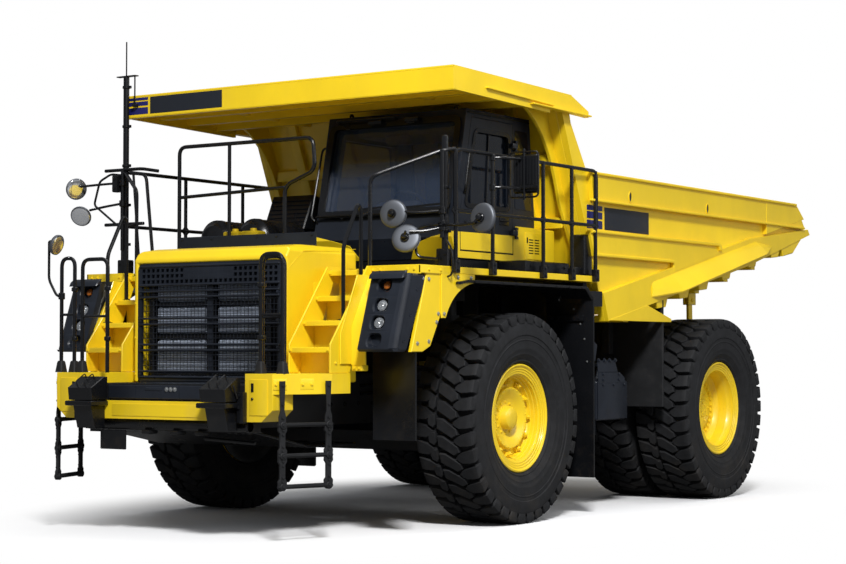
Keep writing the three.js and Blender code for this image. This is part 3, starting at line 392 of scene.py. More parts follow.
def refined(node, finish, edge=0.008):
    """A CAD node's merged copy in its place, with flat faces made whole and edges rounded."""
    shape = bmesh.new()
    shape.from_mesh(frame["nodes"][node].data)
    bmesh.ops.remove_doubles(shape, verts=shape.verts, dist=2e-05)
    bmesh.ops.dissolve_limit(shape, angle_limit=math.radians(0.6), verts=shape.verts, edges=shape.edges)
    mesh = bpy.data.meshes.new(f"{node}_shape")
    shape.to_mesh(mesh)
    shape.free()
    body = body_of(frame["nodes"][node])[0]
    piece = finish_piece(f"{node}_panels", mesh, body, finish, None, node)
    bevel = piece.modifiers.new("rounded_edges", "BEVEL")
    bevel.width = edge
    bevel.segments = 2
    bevel.limit_method = "ANGLE"
    bevel.angle_limit = math.radians(30)
    bevel.harden_normals = True
    return piece


# ---- finishes
FINISHES = {}


class Wire:
    """A number that changes over a surface. Arithmetic on it adds Math nodes."""

    def __init__(self, finish, socket):
        self.finish = finish
        self.socket = socket

    def _math(self, operation, first, second):
        """The result of one operation on two values."""
        node = self.finish.node("Math", {"operation": operation}, {0: first, 1: second})
        return Wire(self.finish, node.outputs[0])

    def __add__(self, other):
        return self._math("ADD", self, other)
    __radd__ = __add__

    def __mul__(self, other):
        return self._math("MULTIPLY", self, other)
    __rmul__ = __mul__

    def __sub__(self, other):
        return self._math("SUBTRACT", self, other)

    def __rsub__(self, other):
        return self._math("SUBTRACT", other, self)

    def __pow__(self, other):
        return self._math("POWER", self, other)

    def ramp(self, low, high):
        """0 at low and below, 1 at high and above, and a smooth rise between."""
        settings = {"interpolation_type": "SMOOTHSTEP"}
        node = self.finish.node("MapRange", settings, {"Value": self, "From Min": low, "From Max": high})
        return Wire(self.finish, node.outputs["Result"])


class Finish:
    """One material: it adds nodes, joins them and sets the shader's own sockets."""

    def __init__(self, name, **constants):
        self.material = bpy.data.materials.new(name.replace(" ", "_"))
        self.material.use_nodes = True
        self.tree = self.material.node_tree
        self.shader = self.tree.nodes["Principled BSDF"]
        self.set(**constants)
        self.place = self.node("TexCoord").outputs["Object"]
        FINISHES[name] = self.material

    def node(self, kind, settings=None, inputs=None):
        """Adds a node, with its settings first and then the values or links of its sockets."""
        made = self.tree.nodes.new(f"ShaderNode{kind}")
        for key, value in (settings or {}).items():
            setattr(made, key, value)
        for key, value in (inputs or {}).items():
            self.feed(made.inputs[key], value)
        return made

    def feed(self, socket, value):
        """Sets a socket to a value, or links another socket to it."""
        if isinstance(value, Wire):
            value = value.socket
        if isinstance(value, bpy.types.NodeSocket):
            self.tree.links.new(value, socket)
        else:
            socket.default_value = value

    def set(self, **values):
        """Sets the shader's sockets, given by their names with _ for each space."""
        for name, value in values.items():
            self.feed(self.shader.inputs[name.replace("_", " ")], value)

    def height(self):
        """The height above the ground, in metres."""
        split = self.node("SeparateXYZ", None, {0: self.place})
        return Wire(self, split.outputs["Z"])

    def stretched(self, scale):
        """Object coordinates scaled by three numbers."""
        return self.node("Mapping", None, {"Vector": self.place, "Scale": scale}).outputs[0]

    def noise(self, scale, detail=3.0, roughness=0.5, stretch=(1, 1, 1)):
        """Smooth noise between 0 and 1 over the piece's own coordinates."""
        inputs = {
            "Scale": scale, "Detail": detail, "Roughness": roughness, "Vector": self.stretched(stretch)}
        return Wire(self, self.node("TexNoise", None, inputs).outputs["Fac"])

    def bands(self, scale, direction, stretch=(1, 1, 1)):
        """Waves along X, Y or Z, between 0 and 1."""
        settings = {"wave_type": "BANDS", "bands_direction": direction, "wave_profile": "SIN"}
        inputs = {"Scale": scale, "Vector": self.stretched(stretch)}
        return Wire(self, self.node("TexWave", settings, inputs).outputs["Fac"])

    def mix(self, amount, first, second):
        """A colour between two others, by a number or a wire."""
        settings = {"data_type": "RGBA"}
        made = self.node("Mix", settings, {0: amount, 6: first, 7: second})
        return made.outputs[2]

    def tone(self, amount, colour, first, second):
        """A colour between two shades of another."""
        return self.mix(amount, shade(colour, first), shade(colour, second))

    def bump(self, height, depth, normal=None):
        """The surface's direction, tilted by the slope of a height times a depth in metres."""
        inputs = {"Height": height, "Distance": depth, "Strength": 1.0}
        if normal is not None:
            inputs["Normal"] = normal
        return self.node("Bump", None, inputs).outputs["Normal"]


def shade(colour, amount):
    """The colour with each of its parts times the amount."""
    return tuple((part * amount for part in tuple(colour)[:3])) + (1.0,)


DUST = (0.3, 0.22, 0.13, 1.0)


def sprayed_paint(name, colour, roughness, coat, dust):
    """Sprayed steel: fine orange peel, faint clouds of tone, washed-down dust in runs, and a
    dust film that grows towards the ground."""
    finish = Finish(name, Coat_Roughness=0.12, IOR=1.5)
    clouds = finish.noise(1.3, 4, 0.6)
    runs = finish.noise(5.0, 4, 0.65, (1, 1, 0.12))
    specks = finish.noise(55, 3, 0.7)
    low = 1.0 - finish.height().ramp(0.4, 2.2)
    film = (low * 0.65 + 0.12) * runs.ramp(0.42, 0.75) * dust
    base = finish.tone(clouds.ramp(0.3, 0.7), colour, 0.94, 1.03)
    base = finish.mix(specks.ramp(0.62, 0.8) * 0.06, base, shade(colour, 0.6))
    finish.set(Base_Color=finish.mix(film, base, DUST))
    finish.set(Roughness=film * 0.4 + clouds * 0.08 + (roughness - 0.04))
    finish.set(Coat_Weight=(1.0 - film) * coat)
    peel = finish.noise(420, 2, 0.5)
    waves = finish.noise(3.0, 2, 0.4)
    finish.set(Normal=finish.bump(peel, 0.00035, finish.bump(waves, 0.004)))


def powder_coat(name, colour, roughness, grain=0.0006, gloss=0.22):
    """Matt coating: a fine sandy grain, rubbed smoother and paler in patches."""
    finish = Finish(name, IOR=1.45, Specular_IOR_Level=gloss)
    rubbed = finish.noise(2.4, 5, 0.65)
    grains = finish.noise(520, 2, 0.6)
    dusty = (1.0 - finish.height().ramp(0.3, 1.6)) * finish.noise(7, 4, 0.7).ramp(0.45, 0.8) * 0.06
    base = finish.tone(rubbed.ramp(0.35, 0.75), colour, 0.85, 1.25)
    finish.set(Base_Color=finish.mix(dusty, base, DUST))
    finish.set(Roughness=rubbed * -0.14 + (roughness + 0.07))
    finish.set(Normal=finish.bump(grains, grain))


def tyre_rubber(name, colour):
    """Cured rubber: a fine grain, scuffs, and brown dust towards the ground."""
    finish = Finish(name, IOR=1.5, Specular_IOR_Level=0.3)
    scuffs = finish.noise(9, 5, 0.7)
    grains = finish.noise(260, 3, 0.7)
    dusty = (1.0 - finish.height().ramp(0.05, 1.2)) * finish.noise(4, 4, 0.7).ramp(0.4, 0.75) * 0.05
    base = finish.tone(scuffs.ramp(0.35, 0.75), colour, 0.8, 1.5)
    finish.set(Base_Color=finish.mix(dusty, base, DUST))
    finish.set(Roughness=scuffs * 0.18 + 0.62)
    finish.set(Normal=finish.bump(grains, 0.0012, finish.bump(scuffs, 0.002)))


def sheet_rubber(name, colour):
    """Rubber sheet whose woven backing shows through as fine ribs."""
    finish = Finish(name, IOR=1.5, Specular_IOR_Level=0.3)
    ribs = finish.bands(28, "Z")
    stains = finish.noise(3.5, 5, 0.7)
    base = finish.tone(stains.ramp(0.4, 0.8), colour, 0.8, 1.5)
    finish.set(
        Base_Color=finish.mix(stains.ramp(0.55, 0.85) * 0.04, base, DUST), Roughness=stains * 0.2 + 0.55)
    finish.set(Normal=finish.bump(ribs, 0.0006))


def tinted_glass(name, colour, opacity):
    """Tinted glass, seen through by its alpha, with a faint dust film."""
    finish = Finish(name, Base_Color=tuple(colour)[:3] + (1.0,), IOR=1.52, Specular_IOR_Level=0.8)
    film = finish.noise(2.0, 4, 0.6).ramp(0.35, 0.8)
    finish.set(Alpha=film * 0.05 + opacity, Roughness=film * 0.05 + 0.02)
    finish.set(Normal=finish.bump(finish.noise(1.2, 1, 0.3), 0.0015))


def cooling_fins(name, colour):
    """Aluminium fins on a flat core: painted highlights on the thin fin edges and painted shade in the gaps
    between them, crossed by wider tube rows painted the same way, with random tone from bent fins.
    """
    finish = Finish(name, IOR=1.5, Metallic=0.85)
    fins = finish.bands(62, "X")
    rows = finish.bands(14, "Z")
    bent = finish.noise(11, 4, 0.7)
    # Painted light and shade: the fin and tube-row bands brighten the edges and darken the gaps between
    # them; the bent noise is random tone.
    tone = fins * 0.45 + rows * 0.3 + bent * 0.35
    finish.set(Base_Color=finish.tone(tone.ramp(0.25, 0.85), colour, 0.25, 1.35))
    finish.set(Roughness=bent * 0.25 + 0.3, Normal=finish.bump(fins + rows * 0.6, 0.003))


def cast_metal(name, colour, roughness=0.6):
    """Painted casting: a pebbled skin with oily darker patches."""
    finish = Finish(name, IOR=1.5, Metallic=0.25)
    pebbles = finish.noise(130, 4, 0.6)
    oil = finish.noise(3.2, 5, 0.7)
    base = finish.tone(oil.ramp(0.4, 0.75), colour, 1.15, 0.6)
    dusty = (1.0 - finish.height().ramp(0.3, 1.5)) * oil.ramp(0.35, 0.7) * 0.08
    finish.set(Base_Color=finish.mix(dusty, base, DUST), Roughness=roughness - oil * 0.2 + 0.08)
    finish.set(Normal=finish.bump(pebbles, 0.0015))


def plated_steel(name, colour, roughness=0.12):
    """Plated or polished steel with faint drawing lines along the truck."""
    finish = Finish(name, IOR=2.5, Metallic=1.0)
    lines = finish.noise(60, 3, 0.6, (1, 0.05, 1))
    finish.set(Base_Color=finish.tone(lines, colour, 0.85, 1.05))
    finish.set(Roughness=lines * 0.12 + roughness, Normal=finish.bump(lines, 0.0002))


def woven_cloth(name, colour):
    """Seat cloth: two crossed sets of fine threads with a slow change of tone."""
    finish = Finish(name, IOR=1.4, Sheen_Weight=0.3, Sheen_Roughness=0.5)
    warp = finish.bands(160, "X")
    weft = finish.bands(160, "DIAGONAL")
    worn = finish.noise(6, 4, 0.6)
    base = finish.tone(warp * weft, colour, 0.6, 1.6)
    finish.set(Base_Color=finish.mix(worn.ramp(0.4, 0.8) * 0.3, base, shade(colour, 2.2)))
    finish.set(Roughness=worn * 0.1 + 0.85, Normal=finish.bump(warp + weft, 0.0012))


def vinyl_sheet(name, colour):
    """A self-adhesive sheet: even, half glossy and slightly rippled."""
    finish = Finish(name, IOR=1.46)
    ripple = finish.noise(7, 3, 0.5)
    finish.set(Base_Color=finish.tone(ripple, colour, 0.9, 1.1))
    finish.set(Roughness=ripple * 0.12 + 0.3, Normal=finish.bump(ripple, 0.0015))


def lamp_lens(name, colour, alpha):
    """A pressed lens: flutes across a coloured glass, over the reflector behind it."""
    finish = Finish(name, IOR=1.5, Specular_IOR_Level=0.7)
    flutes = finish.bands(30, "X")
    finish.set(Base_Color=finish.tone(flutes, colour, 0.75, 1.1))
    finish.set(Roughness=flutes * 0.1 + 0.05, Alpha=flutes * 0.1 + alpha, Normal=finish.bump(flutes, 0.002))


def mirror_metal(name, colour, roughness):
    """A silvered or bright-coated face with a faint haze."""
    finish = Finish(name, IOR=2.0, Metallic=0.9)
    haze = finish.noise(8, 3, 0.6)
    finish.set(Base_Color=finish.tone(haze, colour, 0.9, 1.0))
    finish.set(Roughness=haze * 0.12 + roughness)


def make_finishes(look):
    """Every material of the truck, in the colours of the settings."""
    sprayed_paint("yellow paint", look.yellow, 0.36, 0.22, 0.26)
    powder_coat("charcoal paint", look.charcoal, 0.3, 0.0003, 0.35)
    powder_coat("black paint", look.black, 0.26, 0.0003, 0.45)
    powder_coat("grip coating", look.black, 0.8, 0.003)
    tyre_rubber("tyre rubber", look.rubber)
    sheet_rubber("moulded rubber", look.rubber)
    tinted_glass("windscreen glass", look.glass, 0.42)
    tinted_glass("rear glass", look.glass, 0.2)
    tinted_glass("side glass", shade(look.glass, 0.15), 0.76)
    cooling_fins("cooling fins", look.aluminium)
    cast_metal("cast iron", look.iron)
    # The rear axle and the filler boxes take the yellow paint at 0.55 of its brightness, as painted shade,
    # on a cast skin.
    cast_metal("painted shade yellow", shade(look.yellow, 0.55), 0.5)
    plated_steel("plated rod", (0.78, 0.79, 0.8, 1.0))
    plated_steel("zinc bolts", (0.55, 0.56, 0.56, 1.0), 0.35)
    woven_cloth("seat cloth", look.cloth)
    powder_coat("cabin plastic", look.plastic, 0.6, 0.001)
    vinyl_sheet("stripe vinyl", look.stripe)
    vinyl_sheet("blank plate", look.charcoal)
    lamp_lens("clear lens", (0.3, 0.32, 0.34, 1.0), 0.25)
    lamp_lens("amber lens", (0.42, 0.12, 0.012, 1.0), 0.85)
    mirror_metal("reflector", (0.85, 0.86, 0.88, 1.0), 0.05)
    mirror_metal("mirror back", (0.15, 0.16, 0.18, 1.0), 0.48)
    mirror_metal("mirror glass", (0.9, 0.92, 0.95, 1.0), 0.01)


# ---- wheels
LUG_COUNT = 38
LUG_DEPTH = 0.058


def tyre_carcass(half, radius, seat, bead):
    """The tyre without its tread, turned from a profile: groove floor, shoulder, wall with raised
    rings, bead and seat."""
    floor = radius - LUG_DEPTH
    wall = [
        (0.12, floor), (0.24, floor - 0.004), (0.285, floor - 0.012), (0.312, floor - 0.034),
        (0.3215, floor - 0.058), (0.3225, radius - 0.18), (0.3262, radius - 0.2), (0.3262, radius - 0.222),
        (0.318, radius - 0.23), (0.319, radius - 0.262), (0.3235, radius - 0.268), (0.3235, radius - 0.276),
        (0.318, radius - 0.282), (0.319, radius - 0.3), (0.313, radius - 0.345), (0.3145, radius - 0.352),
        (0.3085, radius - 0.372), (0.296, radius - 0.405), (0.2975, radius - 0.413), (0.28, radius - 0.445),
        (0.265, radius - 0.47), (0.268, radius - 0.482), (0.256, radius - 0.498), (0.238, radius - 0.506),
        (bead, radius - 0.509), (bead, seat)]
    wall = [(x * half / 0.327, r) for x, r in wall]
    profile = wall + [(-x, r) for x, r in wall[::-1]]
    return turned(profile, OUT, sides=114, wrap=True)


def shoulder_lug(half, radius):
    """One shoulder lug: a section carried from between the middle blocks out to the crisp shoulder
    and a little down the wall."""
    x = np.array((0.122, 0.15, 0.188, 0.262, 0.302, 0.3175, 0.3245, 0.3262, 0.324)) * half / 0.327
    top = radius - np.array((0.002, 0, 0, 0.001, 0.005, 0.013, 0.032, 0.078, 0.104))
    depth = np.array((0.06, 0.06, 0.06, 0.06, 0.06, 0.05, 0.03, 0.012, 0.008))
    width = np.array((0.006, 0.034, 0.054, 0.064, 0.066, 0.066, 0.065, 0.062, 0.052)) * radius / 1.058
    lean = np.array((0, 0, 0, 0.04, 0.15, 0.85, 1.35, 1.52, 1.57))
    along_shift = np.array((-0.112, -0.114, -0.112, -0.1, -0.092, -0.09, -0.088, -0.086, -0.084))
    section = np.array(((-1.1, -1.0), (-1.0, -0.12), (-0.94, 0), (0.94, 0), (1.0, -0.12), (1.1, -1.0)))
    along = along_shift[:, None] + section[None, :, 0] * width[:, None]
    sunk = section[None, :, 1] * depth[:, None]
    across = x[:, None] + sunk * np.sin(lean)[:, None]
    reach = top[:, None] + sunk * np.cos(lean)[:, None]
    angle = along / radius
    return carried(np.stack([across, reach * np.sin(angle), reach * np.cos(angle)], -1))


# Outlines of the large and the small middle block, as (distance from the tyre's middle, along the tread).
LARGE_BLOCK = (
    (-0.068, 0.108), (0.0, 0.104), (0.156, 0.004), (0.165, -0.052), (0.1, -0.084), (-0.066, 0.01))
SMALL_BLOCK = (
    (-0.088, 0.058), (-0.146, 0.06), (-0.172, 0.006), (-0.164, -0.044), (-0.112, -0.07), (-0.09, -0.04))


def centre_block(half, radius, outline):
    """One six-sided block of the tread's middle, drafted and bevelled at its top."""
    k = half / 0.327
    levels = ((0.008, -LUG_DEPTH - 0.01), (0.0, -0.006), (-0.006, 0.0))
    rings = []
    for grow, height in levels:
        x, along = offset(outline, grow).T
        angle = along / 1.058
        reach = radius + height
        rings.append(np.stack([x * k, reach * np.sin(angle), reach * np.cos(angle)], -1))
    return carried(rings)


def tyre(node):
    """A carcass with two rows of shoulder lugs and two staggered rows of middle blocks."""
    span = Span(node)
    half, radius = span.size[0] / 2, span.size[2] / 2
    pitch = 2 * np.pi / LUG_COUNT
    angles = np.arange(LUG_COUNT) * pitch
    right, left = spin_bases("X", angles), spin_bases("X", angles + pitch / 2)
    origins = np.zeros((LUG_COUNT, 3))
    lug = shoulder_lug(half, radius)
    return joined(
        tyre_carcass(half, radius, 0.452, half - 0.111), copies(lug, origins, right),
        copies(lug.on_side(-1), origins, left),
        copies(centre_block(half, radius, LARGE_BLOCK), origins, right),
        copies(centre_block(half, radius, SMALL_BLOCK), origins, left)).moved(*span.middle)


def rim_nuts(radius, count, along, size):
    """Wheel nuts on clamp wedges at even angles round the X axis."""
    clamp = block((-0.012, -0.032, -0.026), (0.016, 0.032, 0.03), 0.006)
    wedge = block((0.01, -0.024, -0.016), (0.03, 0.024, 0.016), 0.005)
    nut = bolt(size, size).turned(axes(OUT), (0.03, 0, 0))
    stud = rod((0.028, 0, 0), (0.03 + size * 1.7, 0, 0), size * 0.5, 8, 0.002)
    angles = np.arange(count) * 2 * np.pi / count
    one = joined(clamp, wedge, nut, stud).moved(along, 0, radius)
    return copies(one, np.zeros((count, 3)), spin_bases("X", angles))


# The lip of a rim outside the tyre's bead, as (distance out from the tyre's middle, radius).
RIM_LIP = (
    (0.198, 0.43), (0.205, 0.446), (0.2195, 0.448), (0.2195, 0.466), (0.227, 0.471), (0.227, 0.49),
    (0.235, 0.495), (0.235, 0.512), (0.243, 0.517), (0.251, 0.53), (0.246, 0.544), (0.232, 0.5485),
    (0.219, 0.546), (0.218, 0.449))


def front_rim():
    """A front rim: stepped lip, bowl, clamp band, and a hollow drum with a domed cap."""
    inner = [
        (0.172, 0.004), (0.17, 0.045), (0.164, 0.082), (0.15, 0.106), (0.128, 0.116), (0.074, 0.12),
        (0.07, 0.14), (0.072, 0.178), (0.092, 0.214), (0.12, 0.258), (0.136, 0.288), (0.138, 0.304),
        (0.128, 0.312), (0.082, 0.316), (0.078, 0.33), (0.08, 0.392), (0.094, 0.404), (0.12, 0.408),
        (0.126, 0.416), (0.158, 0.42), (0.164, 0.428)]
    back = [(-x, r) for x, r in RIM_LIP[:8:-1]] + [(-0.235, 0.5), (-0.224, 0.448), (-0.2, 0.425)]
    back += [(0.01, 0.4), (0.01, 0.004)]
    return joined(
        turned([*inner, *RIM_LIP, *back], OUT, sides=96), rim_nuts(0.362, 12, 0.09, 0.017),
        bolt_ring((0.071, 0, 0), OUT, 0.16, 12, 0.011),
        bolt_ring((0.137, 0, 0), OUT, 0.296, 24, 0.007, 0.1))


def rear_rim(dual):
    """A rim for twin tyres: stepped lip, deep bowl, bolt rings, the final drive's cap and the inner
    tyre's seat."""
    inner = [
        (0.418, 0.004), (0.414, 0.098), (0.4, 0.114), (0.396, 0.234), (0.386, 0.25), (0.364, 0.262),
        (0.358, 0.28), (0.358, 0.372), (0.372, 0.396), (0.404, 0.412), (0.418, 0.424), (0.52, 0.43),
        (dual + 0.15, 0.434), (dual + 0.158, 0.44)]
    outer = [(dual + x, r) for x, r in RIM_LIP[1:]]
    back = [(-x - dual, r) for x, r in RIM_LIP[:8:-1]] + [(-dual - 0.235, 0.5), (-dual - 0.224, 0.448)]
    back += [(-dual - 0.21, 0.425), (0.15, 0.4), (0.15, 0.004)]
    waist = [(dual - x, r) for x, r in RIM_LIP[:8:-1]] + [(dual - 0.247, 0.44), (0.247 - dual, 0.44)]
    waist += [(x - dual, r) for x, r in RIM_LIP[9:]]
    return joined(
        turned([*inner, *outer, *waist, *back], OUT, sides=96),
        bolt_ring((0.358, 0, 0), OUT, 0.325, 30, 0.019), bolt_ring((0.398, 0, 0), OUT, 0.175, 12, 0.011),
        bolt_ring((0.416, 0, 0), OUT, 0.06, 6, 0.009))


def valve(reach, radius):
    """A bent air valve from the bowl's wall towards its mouth."""
    line = [(reach, 0, -radius), (reach + 0.05, 0, -radius + 0.012), (reach + 0.12, 0, -radius + 0.016)]
    return tube(line, 0.006, 0.02, 8)


class WheelsOperator(bpy.types.Operator):
    """Makes the six tyres with their tread, and the four rims with their nuts and hubs"""
    bl_idname = "truck.wheels"
    bl_label = "Wheels"

    def execute(self, context):
        for name, side in SIDES.items():
            front, rear = f"front_wheel_{name}", f"rear_wheels_{name}"
            for node, body in (
                (f"front_tyre_{name}", front), (f"rear_tyre_outer_{name}", rear),
                (f"rear_tyre_inner_{name}", rear)):
                make(f"{node}_tread", tyre(node), "tyre rubber", node, body=body)
            middle = Span(f"front_tyre_{name}").middle
            shape = (front_rim() + valve(0.075, 0.395)).on_side(side).moved(*middle)
            make(f"front_rim_{name}_dish", shape, "yellow paint", f"front_rim_{name}", body=front)
            inner = Span(f"rear_tyre_inner_{name}").middle
            outer = Span(f"rear_tyre_outer_{name}").middle
            dual = abs(outer - inner)[0] / 2
            shape = (rear_rim(dual) + valve(0.38, 0.395)).on_side(side).moved(*(inner + outer) / 2)
            make(f"rear_rim_{name}_dish", shape, "yellow paint", f"rear_rim_{name}", body=rear)
        return {"FINISHED"}


# ---- steel panels
PANELS = (
    ("chassis_frame", "cast iron", 0.008), ("front_bumper", "yellow paint", 0.014),
    ("bumper_walkway", "grip coating", 0.008), ("hood", "yellow paint", 0.03),
    ("engine_and_driveline", "cast iron", 0.006), ("deck", "yellow paint", 0.006),
    ("wheel_arch_left", "black paint", 0.006), ("wheel_arch_right", "black paint", 0.006),
    ("cab_base", "black paint", 0.012), ("cab_rear_box", "yellow paint", 0.018),
    ("hydraulic_tank", "charcoal paint", 0.035), ("fuel_tank", "charcoal paint", 0.035),
    ("front_suspension", "cast iron", 0.006), ("rear_axle", "painted shade yellow", 0.012),
    ("body_floor", "yellow paint", 0.01), ("body_front_wall", "yellow paint", 0.01),
    ("body_side_left", "yellow paint", 0.012), ("body_side_right", "yellow paint", 0.012),
    ("body_canopy", "yellow paint", 0.01), ("cab_shell", "charcoal paint", 0.016),
    ("cab_door", "charcoal paint", 0.008))


class PanelsOperator(bpy.types.Operator):
    """Rounds the edges of the frame's plates, boxes and castings and paints them"""
    bl_idname = "truck.panels"
    bl_label = "Steel panels"

    def execute(self, context):
        for node, finish, edge in PANELS:
            refined(node, finish, edge)
        return {"FINISHED"}


# ---- front
def grille(span):
    """The radiator guard: frame, slotted band, pairs of cross bars, mullion and wire mesh."""
    low, high, front = span.low, span.high, span.low[1]
    outer = softened(rectangle(low[[0, 2]], high[[0, 2]]), 0.07, 4)
    inner = softened(rectangle(low[[0, 2]] + 0.045, high[[0, 2]] - 0.045), 0.05, 4)
    width = high[0] - low[0] - 0.09
    band_low, band_high = high[2] - 0.21, high[2] - 0.04
    band = rectangle((low[0] + 0.05, band_low), (high[0] - 0.05, band_high))
    columns, rows = 28, 3
    step = width / columns
    cell = rectangle((-step / 2, -0.0275), (step / 2, 0.0275))
    slot = np.array(((-0.024, -0.017), (0.017, -0.017), (0.024, 0.017), (-0.017, 0.017)))
    opened = holed(ALONG_Y, cell, slot, front - 0.006, front + 0.012)
    filled = plate(ALONG_Y, cell, front - 0.006, front + 0.012, 0.001)
    x = (np.arange(columns) - (columns - 1) / 2) * step
    z = band_high - 0.0275 - 0.055 * np.arange(rows)
    places = np.array([(a, 0, c) for c in z for a in x])
    blank = (places[:, 2] > z[-1] + 0.01) & (np.abs(places[:, 0]) < 0.33)
    parts = [
        holed(ALONG_Y, outer, inner, front - 0.004, front + 0.03),
        plate(ALONG_Y, band, front + 0.022, front + 0.028, 0.002), copies(opened, places[~blank]),
        copies(filled, places[blank]),
        *[
            rod((-0.87, front - 0.004, c), (0.87, front - 0.004, c), 0.013)
            for c in (band_low, band_high + 0.012)]]
    for height in (2.285, 2.02, 1.765, 1.505):
        for lift in (-0.028, 0.028):
            parts.append(
                rod((-0.875, front - 0.012, height + lift), (0.875, front - 0.012, height + lift), 0.0115))
        places = [(x, front - 0.016, height) for x in (-0.855, 0.855)]
        parts.append(bolts(places, AHEAD, 0.013))
    wire_top = band_low - 0.01
    wire = post(0, front + 0.006, 1.44, wire_top, 0.0028, 6, 0.0005)
    parts.append(copies(wire, [(x, 0, 0) for x in np.linspace(-0.84, 0.84, 39)]))
    wire = rod((-0.86, front, 0), (0.86, front, 0), 0.0028, 6, 0.0005)
    parts += [
        copies(wire, [(0, 0, z) for z in np.linspace(1.48, wire_top - 0.03, 17)]),
        block((-0.03, front + 0.012, 1.44), (0.03, front + 0.04, wire_top), 0.006),
        block((-0.86, front - 0.01, 1.428), (0.86, front + 0.03, 1.492), 0.012)]
    return joined(parts)


def cooler_cores(span):
    """Six finned cores in two columns and three rows behind the guard."""
    return joined(
        [
            block((x0, span.low[1], z0), (x1, span.low[1] + 0.05, z1), 0.035, 4)
            for x0, x1 in ((-0.7, -0.07), (0.07, 0.62))
            for z0, z1 in ((1.52, 1.84), (1.9, 2.16), (2.21, 2.4))])


def cooler_frame(span):
    """The dark box that carries the cores, with header tanks, hoses and clamps."""
    low, high = span.low + (0, 0.05, 0), span.high
    parts = [
        block(low, high, 0.01),
        *[
            rod((-0.76, low[1] - 0.02, z), (0.72, low[1] - 0.02, z), 0.022, 14, 0.008)
            for z in (1.5, 1.87, 2.185, 2.44)]]
    for x in (-0.76, 0.0, 0.7):
        parts.append(
            tube(
                [(x, low[1] - 0.03, 1.48), (x, low[1] - 0.045, 1.9), (x, low[1] - 0.03, 2.45)], 0.03, 0.2,
                12))
        parts += [post(x, low[1] - 0.04, z, z + 0.03, 0.036, 14) for z in (1.6, 2.0, 2.3)]
    return joined(parts)


def corner_loop(side, x0, x1, top, y):
    """A handrail loop on the bumper: a bent tube with a crossbar and clamps."""
    ground = Span("front_bumper").high[2]
    feet = [(side * x0, y, ground), (side * x1, y, ground)]
    line = [feet[0], (side * x0, y, top), (side * x1, y, top), feet[1]]
    bar = rod((side * x0, y, top - 0.55), (side * x1, y, top - 0.55), 0.013)
    clamps = [post(side * x0, y, z - 0.02, z + 0.02, 0.032, 14, 0.006) for z in (1.85, 2.33)]
    return joined(tube(line, 0.019, 0.09, 10, 6), bar, clamps)


def corner_mirror_arm():
    """The bent stem that carries the low mirror at the bumper's right-hand corner."""
    y = -5.15
    stem = [(-1.415, y, 2.268), (-1.48, y, 2.268), (-1.59, y, 2.43), (-1.59, y, 2.8)]
    return joined(
        tube(stem, 0.013, 0.05), post(-1.415, y, 2.235, 2.3, 0.032, 16, 0.005),
        ball_mount((-1.484, y, 2.771), (-0.94, -0.17, 0.29), (-1.59, y, 2.78)))


def boots(places):
    """Tapered rubber boots at the feet of the tubes."""
    square = softened(rectangle((-1, -1), (1, 1)), 0.5, 3)
    sizes = ((0.048, 0.0), (0.046, 0.012), (0.032, 0.1), (0.024, 0.112))
    return copies(carried(levelled([(square * size, z) for size, z in sizes])), places)


def chock(span, side):
    """A wheel chock in its carrier: wedge, shelf, tapered bracket, side plate, handles and bolts."""
    x0, x1 = span.low[0], span.high[0]
    y = span.high[1]
    wedge = [(y, 1.27), (y, 1.485), (y - 0.05, 1.49), (y - 0.23, 1.385), (y - 0.215, 1.27)]
    bracket = [(y, 1.005), (y, 1.215), (y - 0.2, 1.215), (y - 0.145, 1.005)]
    edge = x1 if side > 0 else x0
    parts = [
        plate(ALONG_X, wedge, x0, x1, 0.006),
        block((x0 - 0.03, y - 0.235, 1.215), (x1 + 0.01, y, 1.262), 0.008),
        plate(ALONG_X, bracket, x0 + 0.045, x1 - 0.03, 0.005),
        block((edge, y - 0.06, 1.08), (edge + 0.075 * side, y, 1.36), 0.006),
        bolts([(edge + 0.03 * side, y - 0.06, z) for z in (1.22, 1.33)], AHEAD, 0.014)]
    for x in (x0 + 0.1, x1 - 0.1):
        foot, head = np.array((x, y - 0.2, 1.402)), np.array((x, y - 0.08, 1.472))
        lift = np.array((0, -0.018, 0.045))
        parts.append(tube([foot, foot + lift, head + lift, head], 0.006, 0.018, 8))
    parts.append(rod((edge + 0.02 * side, y - 0.07, 1.3), (edge + 0.02 * side, y - 0.13, 1.42), 0.009, 8))
    return joined(parts)


def walkway_fittings():
    """A recessed handle, plate seams and tread plates on the walkway's dark bar."""
    span = Span("bumper_walkway")
    front, top = span.low[1], span.high[2]
    return joined(
        block((-0.64, front - 0.012, 1.285), (0.64, front, top - 0.012), 0.006),
        block((-0.17, front - 0.018, 1.362), (0.03, front - 0.006, 1.392), 0.006),
        block((0.24, front - 0.016, 1.29), (0.245, front - 0.01, 1.41), 0.001),
        block((-0.3, front - 0.016, 1.29), (-0.295, front - 0.01, 1.41), 0.001),
        [
            block((x - 0.09, front + 0.05, top), (x + 0.09, front + 0.62, top + 0.006), 0.004)
            for x in (-0.34, -0.14, 0.14, 0.34)])


